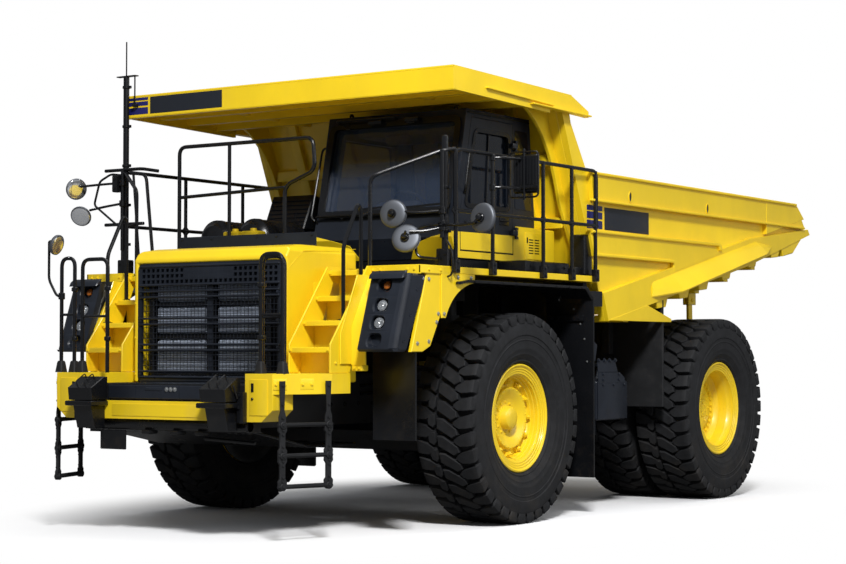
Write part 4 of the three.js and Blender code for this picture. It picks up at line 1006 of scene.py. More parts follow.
def bumper_fittings():
    """Door panels on both boxes, bracket plates with bolts, and bolts along the wings."""
    span = Span("front_bumper")
    front, top = span.low[1], span.high[2]
    parts = []
    for side in (1, -1):
        parts.append(block((side * 1.065, front - 0.006, 1.15), (side * 1.27, front, 1.475), 0.005))
        for x, y in ((1.345, -5.222), (1.435, -4.945)):
            spot = np.array((side * x, y, 1.43))
            out = np.array((side * 0.9478, -0.3188, 0))
            run = np.array((0.3188 * side, 0.9478, 0))
            parts.append(beam(spot - run * 0.075, spot + run * 0.075, 0.1, 0.022, out, 0.004))
            parts.append(bolts([spot + run * s + out * 0.01 for s in (-0.05, 0.05)], out, 0.013))
        places = [(side * x, -4.55, top) for x in (1.05, 1.49)]
        parts.append(bolts(places, UP, 0.012))
    parts.append(block((-0.6, front - 0.005, 1.12), (0.6, front, 1.235), 0.004))
    return joined(parts)


def handle_slots():
    """Black blocks on the bumper's doors, painted as the shade inside the handle slots, and the locks."""
    front = Span("front_bumper").low[1]
    # The black block is painted shade in each handle slot; the rod is its lock.
    return joined(
        [
            s for side in (1, -1)
            for s in (
                block((side * 1.085, front - 0.01, 1.36), (side * 1.115, front - 0.005, 1.44), 0.004),
                rod((side * 1.1, front - 0.016, 1.3), (side * 1.1, front - 0.004, 1.3), 0.012))])


def under_bumper():
    """The round beam, plates and bolted brackets under the bumper."""
    front = Span("front_bumper").low[1]
    belly = [(-5.12, 0.985), (-4.25, 0.815), (-3.5, 0.815), (-3.5, 0.84), (-4.25, 0.84), (-5.12, 1.01)]
    rail = [(0.25, front + 0.35, 0.91), (0.85, front + 0.35, 0.88)]
    return joined(
        rod((-1.0, front + 0.09, 1.045), (1.0, front + 0.09, 1.045), 0.058, 20, 0.01),
        block((-0.98, front + 0.12, 0.985), (0.98, front + 0.3, 1.0), 0.004),
        block((-0.8, front + 0.05, 0.8), (-0.48, front + 0.07, 0.985), 0.006),
        [
            block((x - 0.05, front + 0.02, 0.955), (x + 0.05, front + 0.14, 0.99), 0.006)
            for x in (-0.2, 0.15, 0.45)],
        bolts([(x, front + 0.14, 0.99) for x in (0.72, 0.79, 0.88, 0.95, 0.35)], (0, 0, -1), 0.016),
        plate(ALONG_X, belly, -0.95, 0.95, 0.006), rod(*rail, 0.018, 10))


def ladder(side):
    """A boarding ladder: waisted straps with bolted ends between round rungs, on steel hangers."""
    foot, wing = np.array((1.324, -5.3)), np.array((1.53, -4.687))
    run = (wing - foot) / np.linalg.norm(wing - foot)
    out = np.array((run[1], -run[0]))
    basis = np.array(((run[0], run[1], 0), UP, (out[0], out[1], 0)))
    origin = (*foot + out * 0.0245, 0)
    waist = [(-0.044, 0), (-0.047, 0.035), (-0.028, 0.06), (-0.028, 0.19), (-0.047, 0.215), (-0.044, 0.25)]
    waist = np.array(waist + [(-x, z) for x, z in waist[::-1]])
    parts = []
    for along in (0.09, 0.59):
        for low, high in ((0.515, 0.79), (0.79, 1.065)):
            strap = waist * (1, (high - low - 0.03) / 0.25) + (along, low + 0.015)
            parts.append(plate(np.eye(3), strap, -0.014, 0.014, 0.004))
            for z in (low + 0.045, low + 0.085, high - 0.085, high - 0.045):
                parts.append(bolt(0.011, 0.011).moved(along, z, 0.014))
        hanger = [(-0.038, 1.05), (-0.038, 1.14), (-0.02, 1.2), (-0.03, 1.46), (0.03, 1.46)]
        hanger += [(0.02, 1.2), (0.038, 1.14), (0.038, 1.05)]
        parts.append(plate(np.eye(3), np.array(hanger) + (along, 0), -0.009, 0.009, 0.003))
        for z in (1.09, 1.13, 1.25, 1.42):
            parts.append(bolt(0.012, 0.012).moved(along, z, 0.009))
    for z in (0.515, 0.79, 1.065):
        parts.append(rod((0.045, z, 0), (0.635, z, 0), 0.019, 14, 0.004))
        parts.append(block((0.12, z - 0.006, -0.024), (0.56, z + 0.022, 0.024), 0.005))
        for along in (0.09, 0.59):
            parts.append(post(along, z, -0.028, 0.028, 0.034, 16, 0.006))
            parts.append(bolt(0.014, 0.01).moved(along, z, 0.028))
    shape = joined(parts).turned(basis, origin)
    return shape.on_side(side)


def stair(side):
    """A stair: open treads with serrated noses on set-back risers, between bolted cheeks."""
    x0, x1 = 1.031, 1.52
    steps = ((-4.69, 1.528, 1.759), (-4.478, 1.759, 2.008), (-4.282, 2.008, 2.242), (-4.077, 2.242, 2.49))
    cheek = [(-4.7, 1.528), (-4.7, 1.79), (-4.11, 2.53), (-3.5003, 2.53), (-3.5003, 2.38), (-4.017, 2.38)]
    cheek += [(-4.4, 1.528)]
    tooth = block((-0.007, -0.006, 0), (0.007, 0.014, 0.007), 0.002, 1)
    parts = [plate(ALONG_X, cheek, x0, x0 + 0.018, 0.003), plate(ALONG_X, cheek, x1 - 0.018, x1, 0.003)]
    for index, (y, low, high) in enumerate(steps):
        depth = 0.26 if index < 3 else -3.5003 - y
        parts.append(block((x0 + 0.018, y, high - 0.028), (x1 - 0.018, y + depth, high), 0.004))
        parts.append(block((x0 + 0.018, y + 0.155, low), (x1 - 0.018, y + 0.165, high - 0.028), 0.003))
        parts.append(
            block((x0 + 0.018, y - 0.008, high - 0.045), (x1 - 0.018, y + 0.004, high + 0.003), 0.004))
        teeth = [(x, y, high) for x in np.linspace(x0 + 0.04, x1 - 0.04, 13)]
        parts.append(copies(tooth, teeth))
        rows = [(x, y + 0.05 * r, high) for r in (1, 2, 3) for x in np.linspace(x0 + 0.06, x1 - 0.06, 7)]
        stud = turned([(0, 0.013), (0.004, 0.012), (0.004, 0.006)], UP, sides=8)
        parts.append(copies(stud, rows))
        parts.append(bolts([(x, y - 0.008, high - 0.02) for x in (x0 + 0.03, x1 - 0.03)], AHEAD, 0.012))
    parts += [
        block((x0 + 0.018, -3.66, 2.375), (x1 - 0.018, -3.5003, 2.465), 0.006),
        bolts(
            [(x1, y, z) for y, z in ((-4.62, 1.62), (-4.5, 1.85), (-4.1, 2.42), (-3.7, 2.46))], OUT, 0.012)]
    return joined(parts).on_side(side)


def headlamp_housing(side):
    """A moulded lamp housing: rounded body, a face with four rounded recesses, a brow, a chin
    and round plugs down its side."""
    x0, x1, front = 1.7, 2.09, -4.42
    body = [(front + 0.075, 1.76), (front + 0.1, 1.722), (-4.17, 1.722), (-4.092, 2.3), (-4.092, 2.447)]
    body += [(front + 0.075, 2.447)]
    levels = (1.745, 1.91, 2.07, 2.23, 2.44)
    parts = [plate(ALONG_X, softened(body, 0.03, 3), x0 + 0.012, x1, 0.022)]
    for low, high in zip(levels, levels[1:]):
        outer = softened(rectangle((x0, low), (x1 - 0.05, high)), 0.001, 6)
        middle = np.array(((x0 + x1 - 0.06) / 2, (low + high) / 2))
        opening = softened(rectangle(middle - (0.074, 0.056), middle + (0.074, 0.056)), 0.05, 6)
        mouth = offset(opening, 0.012)
        levels_y = ((outer, front + 0.08), (outer, front + 0.004), (mouth, front), (opening, front + 0.016))
        levels_y += ((opening, front + 0.08),)
        parts.append(carried(levelled(levels_y), wrap=True).turned(ALONG_Y))
    rim = np.array(
        ((x1 - 0.052, front + 0.002), (x1 - 0.02, front + 0.012), (x1, front + 0.05), (x1, front + 0.1)))
    rim = np.concatenate([rim, [(x1 - 0.052, front + 0.1)]])
    brow = [(front - 0.05, 2.395), (front - 0.045, 2.435), (front - 0.01, 2.468), (front + 0.012, 2.47)]
    brow += [(front + 0.012, 2.41), (front - 0.01, 2.4)]
    chin = [(front + 0.004, 1.745), (front + 0.03, 1.725), (front + 0.1, 1.722), (front + 0.1, 1.75)]
    plugs = [(x1, y, z) for y, z in ((-4.2, 2.3), (-4.23, 2.06), (-4.26, 1.82))]
    plug = turned([(0, 0.016), (0.006, 0.016), (0.006, 0.01), (0.002, 0.008)], OUT, sides=16)
    parts += [
        plate(ALONG_Z, rim, 1.745, 2.447, 0.008), plate(ALONG_X, brow, x0, x1, 0.01),
        plate(ALONG_X, chin, x0, x1, 0.004), copies(plug, plugs)]
    return leaned(joined(parts)).on_side(side)


def leaned(surface):
    """The surface sheared back with height, as the lamp housings lean."""
    points = surface.points.copy()
    points[:, 1] += (points[:, 2] - 2.085) * 0.34
    return Surface(points, surface.quads, surface.caps)


def fender(side):
    """The fender: a deck shelf, a bolted cheek and a folded corner."""
    cheek = [(-4.215, 1.722), (-4.03, 1.722), (-3.9, 1.775), (-3.74, 2.04), (-3.6, 2.33), (-3.5, 2.4)]
    cheek += [(-3.5, 2.53), (-3.94, 2.53), (-3.965, 2.447)]
    return joined(
        plate(ALONG_X, cheek, 2.045, 2.085, 0.006),
        block((1.5203, -4.08, 2.452), (2.085, -3.5, 2.53), 0.008),
        block((1.5203, -4.085, 2.445), (2.1, -4.075, 2.532), 0.003),
        block((2.075, -4.085, 2.452), (2.1, -3.5, 2.532), 0.006),
        bolts([(x, -4.085, 2.49) for x in (1.56, 1.64, 1.95, 2.03)], AHEAD, 0.011),
        bolts([(2.1, y, 2.49) for y in (-3.95, -3.75, -3.57)], OUT, 0.011)).on_side(side)


def lamp(centre, radius):
    """A bowl by the parabola of its depth over its radius, with a ring at its mouth."""
    t = np.linspace(1, 0.15, 8)
    bowl = [(0.045 * (1 - s ** 2) * -1, radius * s) for s in t]
    outer = [(-0.052, radius * 0.2), (-0.03, radius * 1.05), (0.004, radius * 1.12), (0.006, radius * 1.05)]
    return turned(outer[::-1][0:4][::-1] + bowl, AHEAD, centre, 24, wrap=True)


def dome(centre, direction, radius, height, sides=24):
    """A shallow spherical cap on a short skirt, closed at its crown by a small flat."""
    t = np.linspace(0, 1, 7)[:-1]
    profile = [(-0.004, radius)] + [(height * (1 - (1 - s) ** 2), radius * (1 - s ** 2)) for s in t]
    return turned(profile, direction, centre, sides)


def fender_fittings(side):
    """The arched lip ahead of the wheel, the front panel and its bolted bracket."""
    x = 2.085
    arc = np.linspace(0, 1, 12)[:, None]
    inner = (1 - arc) ** 2 * (-3.66, 2.04) + 2 * arc * (1 - arc) * (-3.52, 2.33) + arc ** 2 * (
        -3.148, 2.386)
    lip = np.concatenate([inner, [(-3.148, 2.464), (-3.73, 2.464), (-3.73, 2.04)]])
    front = [(-4.4, 1.6), (-4.4, 1.95), (-4.12, 2.44), (-4.105, 2.44), (-4.385, 1.945), (-4.385, 1.6)]
    panel = [(-4.56, 1.61), (-4.3, 1.61), (-4.13, 2.2), (-4.13, 2.44), (-4.3, 2.44), (-4.56, 1.9)]
    return joined(
        plate(ALONG_X, lip, x, x + 0.014, 0.003), plate(ALONG_X, front, 1.536, 1.7, 0.003),
        block((1.545, -4.4, 1.545), (1.66, -4.3, 1.6), 0.006),
        bolts([(x, -4.4, 1.572) for x in (1.575, 1.63)], AHEAD, 0.012),
        plate(ALONG_X, panel, 1.524, 1.536, 0.003)).on_side(side)


def fender_bolts(side):
    """The bright bolts of the fender's cheek, its lip and the arch liner."""
    cheek = ((-4.03, 2.4), (-3.93, 2.4), (-4.12, 1.8), (-3.93, 1.82), (-3.8, 2.0), (-3.77, 2.08))
    lip = ((-3.69, 2.08), (-3.45, 2.43), (-3.22, 2.43))
    flap = [
        (x, -0.866, z) for x, z in ((1.72, 2.28), (1.9, 2.18), (1.98, 2.02), (2.03, 1.86), (2.06, 1.62))]
    return joined(
        bolts([(2.085, y, z) for y, z in cheek], OUT, 0.014),
        bolts([(2.099, y, z) for y, z in lip], OUT, 0.014), bolts(flap, AHEAD, 0.008)).on_side(side)


def brake_shield(side):
    """The round dished shield behind a front wheel, which turns with the steering."""
    centre = Span("front_tyre_left").middle
    profile = [
        (-0.268, 0.1), (-0.268, 0.552), (-0.272, 0.556), (-0.28, 0.556), (-0.284, 0.46), (-0.292, 0.44)]
    profile += [(-0.292, 0.1)]
    return turned(profile, OUT, centre, 64, wrap=True).on_side(side)


def arch_fittings(side):
    """The liner's rolled lip and bolts, the flap's stiffeners, and the panels that close the arch."""
    line = [(2.12, -3.5, 2.375), (2.12, -3.3, 2.396), (2.12, -1.0, 2.396), (2.12, -0.865, 2.285)]
    return joined(
        tube(line, 0.014, 0.05, 8),
        bolts([(2.134, y, 2.396) for y in np.linspace(-3.2, -1.1, 9)], OUT, 0.01),
        block((1.6, -0.895, 2.05), (2.03, -0.866, 2.11), 0.006),
        bolts([(x, -0.895, 2.08) for x in np.linspace(1.65, 1.98, 5)], AHEAD, 0.012),
        block((1.575, -0.838, 0.4), (1.6, -0.8, 2.25), 0.006),
        block((1.0, -0.862, 1.0), (1.595, -0.846, 2.44), 0.004),
        block((0.0, -0.862, 1.62), (1.0, -0.846, 2.44), 0.004),
        block((1.8, -0.6, 2.21), (2.1, -0.592, 2.367), 0.004)).on_side(side)


def hood_fittings():
    """The hood's hatch plates, seam strips, side panels and bolts."""
    parts = [
        block((0.62, -4.28, 2.741), (0.84, -4.02, 2.7445), 0.006),
        block((-0.84, -4.28, 2.741), (-0.62, -4.02, 2.7445), 0.006)]
    for side in (1, -1):
        seam = [(-4.6, 2.5), (-4.36, 2.68), (-3.52, 2.73), (-3.52, 2.725), (-4.36, 2.674), (-4.6, 2.494)]
        parts.append(plate(ALONG_X, seam, side * 0.95, side * 0.953, 0.001))
        parts.append(block((side * 0.95, -4.2, 2.05), (side * 0.958, -3.62, 2.38), 0.01))
    parts.append(bolts([(s * 0.93, -4.62, z) for s in (1, -1) for z in (1.5, 1.86, 2.2)], AHEAD, 0.009))
    return joined(parts)


class FrontOperator(bpy.types.Operator):
    """Makes the grille, coolers, bumper fittings, chocks, ladders, stairs, lamps and fender parts"""
    bl_idname = "truck.front"
    bl_label = "Front"

    def execute(self, context):
        span = Span("radiator_grille")
        make("grille_guard", grille(span), "charcoal paint", "radiator_grille")
        span = Span("radiator")
        make("cooler_frame", cooler_frame(span), "black paint", "radiator")
        make("cooler_cores", cooler_cores(span), "cooling fins")
        make("hood_fittings", hood_fittings(), "yellow paint")
        boxes = []
        for x0, x1 in ((-0.8, -0.6), (-0.56, -0.36)):
            boxes.append(block((x0, -3.44, 2.531), (x1, -3.28, 2.965), 0.012))
            boxes.append(rod(((x0 + x1) / 2, -3.36, 2.965), ((x0 + x1) / 2, -3.36, 2.995), 0.035))
        make("filler_boxes", boxes, "painted shade yellow")
        kick = block((-1.37, -3.5, 2.745), (0.45, -3.488, 2.92), 0.005)
        kick += bolts([(x, -3.5, 2.895) for x in (-1.3, -0.9, -0.3, -0.05, 0.4)], AHEAD, 0.011)
        make("deck_kick_plate", kick, "charcoal paint")
        make("bumper_fittings", bumper_fittings(), "yellow paint")
        make("bumper_handles", handle_slots(), "black paint")
        make("bumper_beam", under_bumper(), "black paint")
        make("walkway_fittings", walkway_fittings(), "charcoal paint")
        front = Span("bumper_walkway").low[1] - 0.012
        studs = bolts([(0.09 + 0.05 * i, front, 1.375) for i in range(3)], AHEAD, 0.015)
        make("walkway_studs", studs, "zinc bolts")
        loops = [corner_loop(1, 1.07, 1.322, 2.61, -5.15), corner_loop(1, 1.012, 1.264, 2.59, -5.05)]
        loops += [corner_loop(-1, 1.241, 1.415, 2.635, -5.15), corner_loop(-1, 0.78, 1.108, 2.615, -5.18)]
        feet = [(1.07, -5.15), (1.322, -5.15), (-1.241, -5.15), (-1.415, -5.15), (-1.108, -5.18)]
        make("corner_handrails", [*loops, corner_mirror_arm()], "black paint")
        ground = Span("front_bumper").high[2]
        make("handrail_boots", boots([(x, y, ground) for x, y in feet]), "moulded rubber")
        for name, side in SIDES.items():
            node = f"wheel_chock_{name}"
            make(f"{node}_carrier", chock(Span(node), side), "black paint", node)
            node = f"boarding_ladder_{name}"
            make(f"{node}_links", ladder(side), "moulded rubber", node)
            node = f"stair_{name}"
            make(f"{node}_treads", stair(side), "yellow paint", node)
            node = f"headlamp_{name}"
            housing = headlamp_housing(side)
            make(f"{node}_housing", housing, "charcoal paint", node)
            middle = side * (1.7 + 2.09 - 0.06) / 2
            bowls = [lamp((middle, -4.385, z), 0.046) for z in (1.99, 2.15)]
            make(f"{node}_bowls", leaned(joined(bowls)), "reflector")
            lenses = [dome((middle, -4.388, z), AHEAD, 0.045, 0.012) for z in (1.99, 2.15)]
            make(f"{node}_lenses", leaned(joined(lenses)), "clear lens")
            turn_lamp = dome((middle, -4.37, 2.335), AHEAD, 0.038, 0.018)
            make(f"turn_lamp_{name}", leaned(turn_lamp), "amber lens")
            node = f"fender_{name}"
            make(f"{node}_cheek", fender(side), "yellow paint", node)
            make(f"fender_fittings_{name}", fender_fittings(side), "yellow paint")
            make(f"fender_bolts_{name}", fender_bolts(side), "zinc bolts")
            make(f"arch_fittings_{name}", arch_fittings(side), "black paint")
            knuckle = body_of(frame["nodes"][f"steering_knuckle_{name}"])[0]
            make(f"brake_shield_{name}", brake_shield(side), "black paint", body=knuckle, slot="cast_iron")
        return {"FINISHED"}


# ---- dump body
def body_side_fittings(side):
    """One side's rails, tail box, sloping rock deflector, channel ends, skirt, corner rib and
    drain-hole rims."""
    face = Span("body_side_left").high[0]
    skin = face - 0.05
    middle = [
        (-0.85, 3.015), (2.307, 3.014), (2.352, 2.977), (2.352, 2.895), (1.114, 2.635), (1.114, 2.745)]
    middle.append((-0.756, 2.745))
    proud = [
        (-0.855, 3.02), (2.312, 3.019), (2.357, 2.977), (2.357, 2.935), (2.3, 2.935), (2.27, 2.985),
        (-0.85, 2.988)]
    lower = [(-0.765, 2.775), (1.1, 2.775), (1.1, 2.742), (-0.755, 2.742)]
    tail = [(3.715, 3.64), (3.715, 3.205), (4.915, 3.46), (4.655, 3.64)]
    box = [(4.2, 3.06), (4.27, 2.95), (4.58, 3.0), (4.95, 3.26), (4.9, 3.3)]
    y = np.array((0.56, 1.03, 1.06, 3.36, 3.4, 3.83))
    top = np.interp(y, (0.56, 3.36, 3.83), (2.513, 3.102, 3.06))
    low = np.interp(y, (0.56, 1.03, 3.83), (2.33, 2.4, 3.024))
    out = face + np.array((0.006, 0.155, 0.165, 0.165, 0.155, 0.012))
    back = np.full(len(y), face - 0.01)
    rings = [
        np.stack([back, y, top], -1), np.stack([(out + face) / 2 + 0.012, y, (top + low) / 2 + 0.012], -1),
        np.stack([out, y, low + 0.016], -1), np.stack([out - 0.008, y, low], -1),
        np.stack([back, y, low], -1)]
    bottoms = ((0.13, 2.1), (0.842, 2.245), (1.402, 2.365), (1.921, 2.477), (2.553, 2.623), (3.311, 2.798))
    parts = [
        plate(ALONG_X, middle, skin, face + 0.003, 0.01), plate(ALONG_X, tail, skin, face + 0.004, 0.004),
        plate(ALONG_X, proud, face - 0.006, face + 0.034, 0.01),
        plate(ALONG_X, lower, face - 0.006, face + 0.022, 0.008),
        plate(ALONG_X, box, 0.95, face - 0.01, 0.012), carried(np.stack(rings, 1))]
    for y, low in (*bottoms, (4.009, 2.945)):
        roof = low + 0.17
        channel = [
            (y - 0.2, roof - 0.04), (y - 0.095, low - 0.03), (y + 0.095, low - 0.012),
            (y + 0.2, roof + 0.04)]
        parts.append(plate(ALONG_X, channel, 0.95, face - 0.012, 0.008))
    skirt = [(-0.44, 2.062), (1.04, 2.062), (1.04, 2.1), (0.45, 2.245), (-0.44, 2.07)]
    t = np.linspace(0, 1, 14)[:, None]
    sweep = (1 - t) ** 2 * (-1.1, 3.3) + 2 * t * (1 - t) * (-1.36, 4.22) + t ** 2 * (-2.15, 4.36)
    rib = np.concatenate([[(-0.72, 2.66)], sweep, [(-1.36, 4.362), (-0.64, 2.66)]])
    parts += [
        plate(ALONG_X, skirt, face - 0.008, face + 0.004, 0.003), plate(ALONG_X, rib, 1.83, 1.87, 0.004)]
    for y, z in ((0.053, 3.429), (2.008, 3.421)):
        ring = circle(20) * (0.03, 0.052) + (y, z)
        parts.append(holed(ALONG_X, offset(ring, 0.01), ring, face - 0.002, face + 0.007))
    parts += [
        beam((face + 0.01, -0.86, 3.34), (face + 0.01, 4.89, 3.34), 0.04, 0.026, edge=0.008),
        beam((face + 0.008, -0.84, 3.63), (face + 0.008, 4.64, 3.63), 0.036, 0.03, edge=0.01)]
    return joined(parts).on_side(side)


def ejector(side):
    """The rock bar between the twin tyres, with its pin bracket."""
    bar = [(2.6, 2.62), (2.7, 2.64), (2.73, 1.32), (2.66, 1.27), (2.62, 1.33)]
    return joined(
        plate(ALONG_X, bar, 1.522, 1.558, 0.006), block((1.5, 2.56, 2.3), (1.522, 2.76, 2.62), 0.005),
        block((1.558, 2.56, 2.3), (1.58, 2.76, 2.62), 0.005),
        rod((1.488, 2.66, 2.36), (1.592, 2.66, 2.36), 0.026)).on_side(side)


def canopy_fittings():
    """Gussets behind the canopy's lip, folded edges, stiffeners and the wings' stepped edges."""
    span = Span("body_canopy")
    front, top = span.low[1], span.high[2]
    gusset = [(front + 0.05, 4.235), (front + 0.05, 4.395), (front + 0.95, 4.385)]
    parts = [
        *[plate(ALONG_X, gusset, x - 0.006, x + 0.006, 0.002) for x in np.linspace(-1.75, 1.75, 8)],
        beam((-2.1, front + 0.035, 4.222), (2.1, front + 0.035, 4.222), 0.07, 0.014),
        beam((-2.1, front + 0.005, top - 0.012), (2.1, front + 0.005, top - 0.012), 0.014, 0.016)]
    for side in (1, -1):
        edge = span.high[0] * side
        parts.append(beam((edge, -2.95, 4.3), (edge, -1.65, 4.262), 0.06, 0.016))
        parts.append(beam((edge, -2.1, 4.235), (edge, -0.9, 4.222), 0.1, 0.016))
        parts.append(beam((side * 1.2, -3.3, 4.35), (side * 1.2, -1.45, 4.32), 0.08, 0.1))
    return joined(parts)


def front_wall_fittings():
    """The front wall's upright stiffeners and its cross channel."""
    span = Span("body_front_wall")
    lean = (span.low[1] - (span.high[1] - 0.075)) / (span.high[2] - span.low[2])
    parts = []

    def on_wall(z):
        """The wall's face at a height: its foot, plus the rise above the foot times the lean."""
        return span.high[1] - 0.075 + (z - span.low[2]) * lean

    for x in (-1.45, -0.75, 0.0, 0.75, 1.45):
        foot, head = (x, on_wall(2.62) - 0.03, 2.62), (x, on_wall(4.32) - 0.03, 4.32)
        parts.append(beam(foot, head, 0.12, 0.07, AHEAD, 0.012))
    parts += [
        beam((-1.82, on_wall(z) - 0.03, z), (1.82, on_wall(z) - 0.03, z), 0.1, 0.12, edge=0.012)
        for z in (3.1, 3.75)]
    return joined(parts)


def stripes(side):
    """Three stripes of growing height on the body's side."""
    skin = Span("body_side_left").high[0] - 0.05
    rows = ((3.238, 3.292), (3.151, 3.225), (3.045, 3.132))
    return joined(
        [block((skin, -0.842, z0), (skin + 0.003, -0.5, z1), 0.001) for z0, z1 in rows]).on_side(side)


class BodyOperator(bpy.types.Operator):
    """Adds the dump body's rails, deflectors, ribs, canopy parts, stripes and blank plates"""
    bl_idname = "truck.body"
    bl_label = "Dump body"

    def execute(self, context):
        skin = Span("body_side_left").high[0] - 0.05
        face = Span("body_side_left").high[0]
        for name, side in SIDES.items():
            fittings = body_side_fittings(side)
            make(f"body_rails_{name}", fittings, "yellow paint", body="dump_body")
            make(f"rock_ejector_{name}", ejector(side), "yellow paint", body="dump_body")
            make(f"body_stripes_{name}", stripes(side), "stripe vinyl", body="dump_body")
            label = block((skin, -0.451, 3.042), (skin + 0.003, 0.588, 3.287), 0.001)
            # Dark discs inside the drain-hole rims: painted shade of the holes, in the blank plate's
            # finish.
            hole_shade_discs = []
            for y, z in ((0.053, 3.429), (2.008, 3.421)):
                hole_shade_discs.append(
                    plate(ALONG_X, circle(20) * (0.029, 0.051) + (y, z), face, face + 0.001, 0.0002))
            plates = (label + joined(hole_shade_discs)).on_side(side)
            make(f"body_plate_and_hole_shade_{name}", plates, "blank plate", body="dump_body")
            node = f"mudguard_{name}"
            refined(node, "moulded rubber")
        make("canopy_fittings", canopy_fittings(), "yellow paint", body="dump_body")
        make("front_wall_ribs", front_wall_fittings(), "yellow paint", body="dump_body")
        front = Span("body_canopy").low[1]
        rows = ((4.398, 4.428), (4.34, 4.385), (4.25, 4.322))
        bands = [block((-2.09, front - 0.003, z0), (-1.76, front, z1), 0.001) for z0, z1 in rows]
        make("canopy_stripes", bands, "stripe vinyl", body="dump_body")
        label = block((-1.73, front - 0.003, 4.248), (-0.745, front, 4.428), 0.001)
        make("canopy_plate", label, "blank plate", body="dump_body")
        return {"FINISHED"}


# ---- cab
WINDOW = np.array(((-2.69, 3.19), (-2.505, 3.95), (-1.865, 3.95), (-1.865, 3.19)))
RIGHT_PANE = np.array(((-2.7, 3.19), (-2.53, 3.95), (-1.56, 3.95), (-1.5, 3.19)))


def sloping(foot, head):
    """Rows for outlines on a sloping wall: across the truck, up the wall, and out of it."""
    run = np.array((0, head[0] - foot[0], head[1] - foot[1]))
    run /= np.linalg.norm(run)
    return np.stack([np.array((1.0, 0, 0)), run, np.cross((1.0, 0, 0), run)])


def seal(basis, outline, low, high, width=0.03, corner=0.05):
    """A rubber or painted frame that laps over the edge of an opening."""
    inner = softened(offset(outline, -width * 0.35), corner, 4)
    outer = softened(offset(outline, width * 0.65), corner + width, 4)
    return holed(basis, outer, inner, low, high)


def cab_seals():
    """The frames round the windscreen and the side and rear windows."""
    span = Span("cab_shell")
    foot, head = np.array((-2.8828, 3.1291)), np.array((-2.6572, 4.0409))
    basis = sloping(foot, head)
    height = np.linalg.norm(head - foot)
    parts = []
    for low, high, width in ((-0.012, 0.01, 0.03), (-0.052, -0.044, 0.07)):
        frame_line = seal(np.eye(3), rectangle((0.08, 0), (1.62, height)), low, high, width, 0.05)
        parts.append(frame_line.turned(-basis * ((-1,), (-1,), (1,)), (0, *foot)))
    rear = sloping((-1.35, 3.22), (-1.438, 4.01))
    line = rectangle((0.2, 0), (1.5, 0.795))
    parts += [
        seal(ALONG_X, RIGHT_PANE, span.low[0] - 0.008, span.low[0] + 0.004),
        seal(np.eye(3), line, -0.006, 0.006).turned(rear, (0, -1.35, 3.22))]
    return joined(parts)


def cab_side_panels():
    """The yellow flank round the door and the wedges at the nose's corners."""
    side = [
        (-2.848, 2.655), (-2.955, 2.861), (-2.94, 2.912), (-2.802, 2.914), (-2.797, 2.722), (-1.778, 2.722)]
    side += [(-1.778, 2.93), (-1.735, 3.022), (-1.352, 3.022), (-1.352, 2.655)]
    low, mid, high = np.array((-2.85, 2.65)), np.array((-2.96, 2.86)), np.array((-2.89, 3.1))
    parts = [plate(ALONG_X, side, 1.7, 1.704, 0.0012)]
    for mirror in (1, -1):
        lower, upper = sloping(low, mid), sloping(mid, high)
        height = np.linalg.norm(mid - low)
        wedge = [(1.16, 0.004), (1.704, 0.004), (1.704, height), (1.46, height), (1.25, height * 0.72)]
        tip = [(1.46, 0.0), (1.704, 0.0), (1.704, 0.056)]
        for outline, basis, origin in ((wedge, lower, low), (tip, upper, mid)):
            outline = np.array(outline, float)
            if mirror < 0:
                outline[:, 0] = 1.7 - outline[:, 0]
                outline[:, 0] = np.maximum(outline[:, 0], -0.004)
            parts.append(
                plate(np.eye(3), outline, -0.004, 0.001, 0.001).turned(
                    -basis * ((-1,), (-1,), (1,)), (0, *origin)))
    louvre = block((1.704, -1.549, 2.69), (1.71, -1.191, 2.97), 0.003)
    return joined(parts, louvre)


def louvres():
    """Black strips in two columns on the service door, painted as the shade inside its louvre slots, and
    its latch.
    """
    # Each black strip is painted shade in one louvre opening.
    return joined(
        [
            block((1.709, y - 0.045, z), (1.7115, y + 0.045, z + 0.012), 0.001) for y in (-1.43, -1.31)
            for z in np.arange(6) * 0.028 + 2.75],
        block((1.709, -1.52, 2.86), (1.716, -1.5, 2.92), 0.003))


def door_panel():
    """The yellow lower panel of the door."""
    outline = [(-2.782, 2.738), (-2.786, 2.915), (-1.793, 2.922), (-1.793, 2.738)]
    return plate(ALONG_X, outline, 1.7, 1.704, 0.0012)


def door_fittings():
    """The door window's frame and rail, the pull handle and its plate."""
    return joined(
        seal(ALONG_X, WINDOW, 1.692, 1.708, 0.045), block((1.7, -2.05, 3.02), (1.706, -1.87, 3.11), 0.012),
        tube(
            [(1.702, -2.03, 3.065), (1.728, -2.03, 3.065), (1.728, -1.9, 3.065), (1.702, -1.9, 3.065)],
            0.008, 0.012, 8),
        beam((1.676, -2.27, 3.2), (1.676, -2.22, 3.94), 0.012, 0.022, OUT),
        rod((1.7, -2.7, 3.02), (1.712, -2.7, 3.02), 0.012, 16))


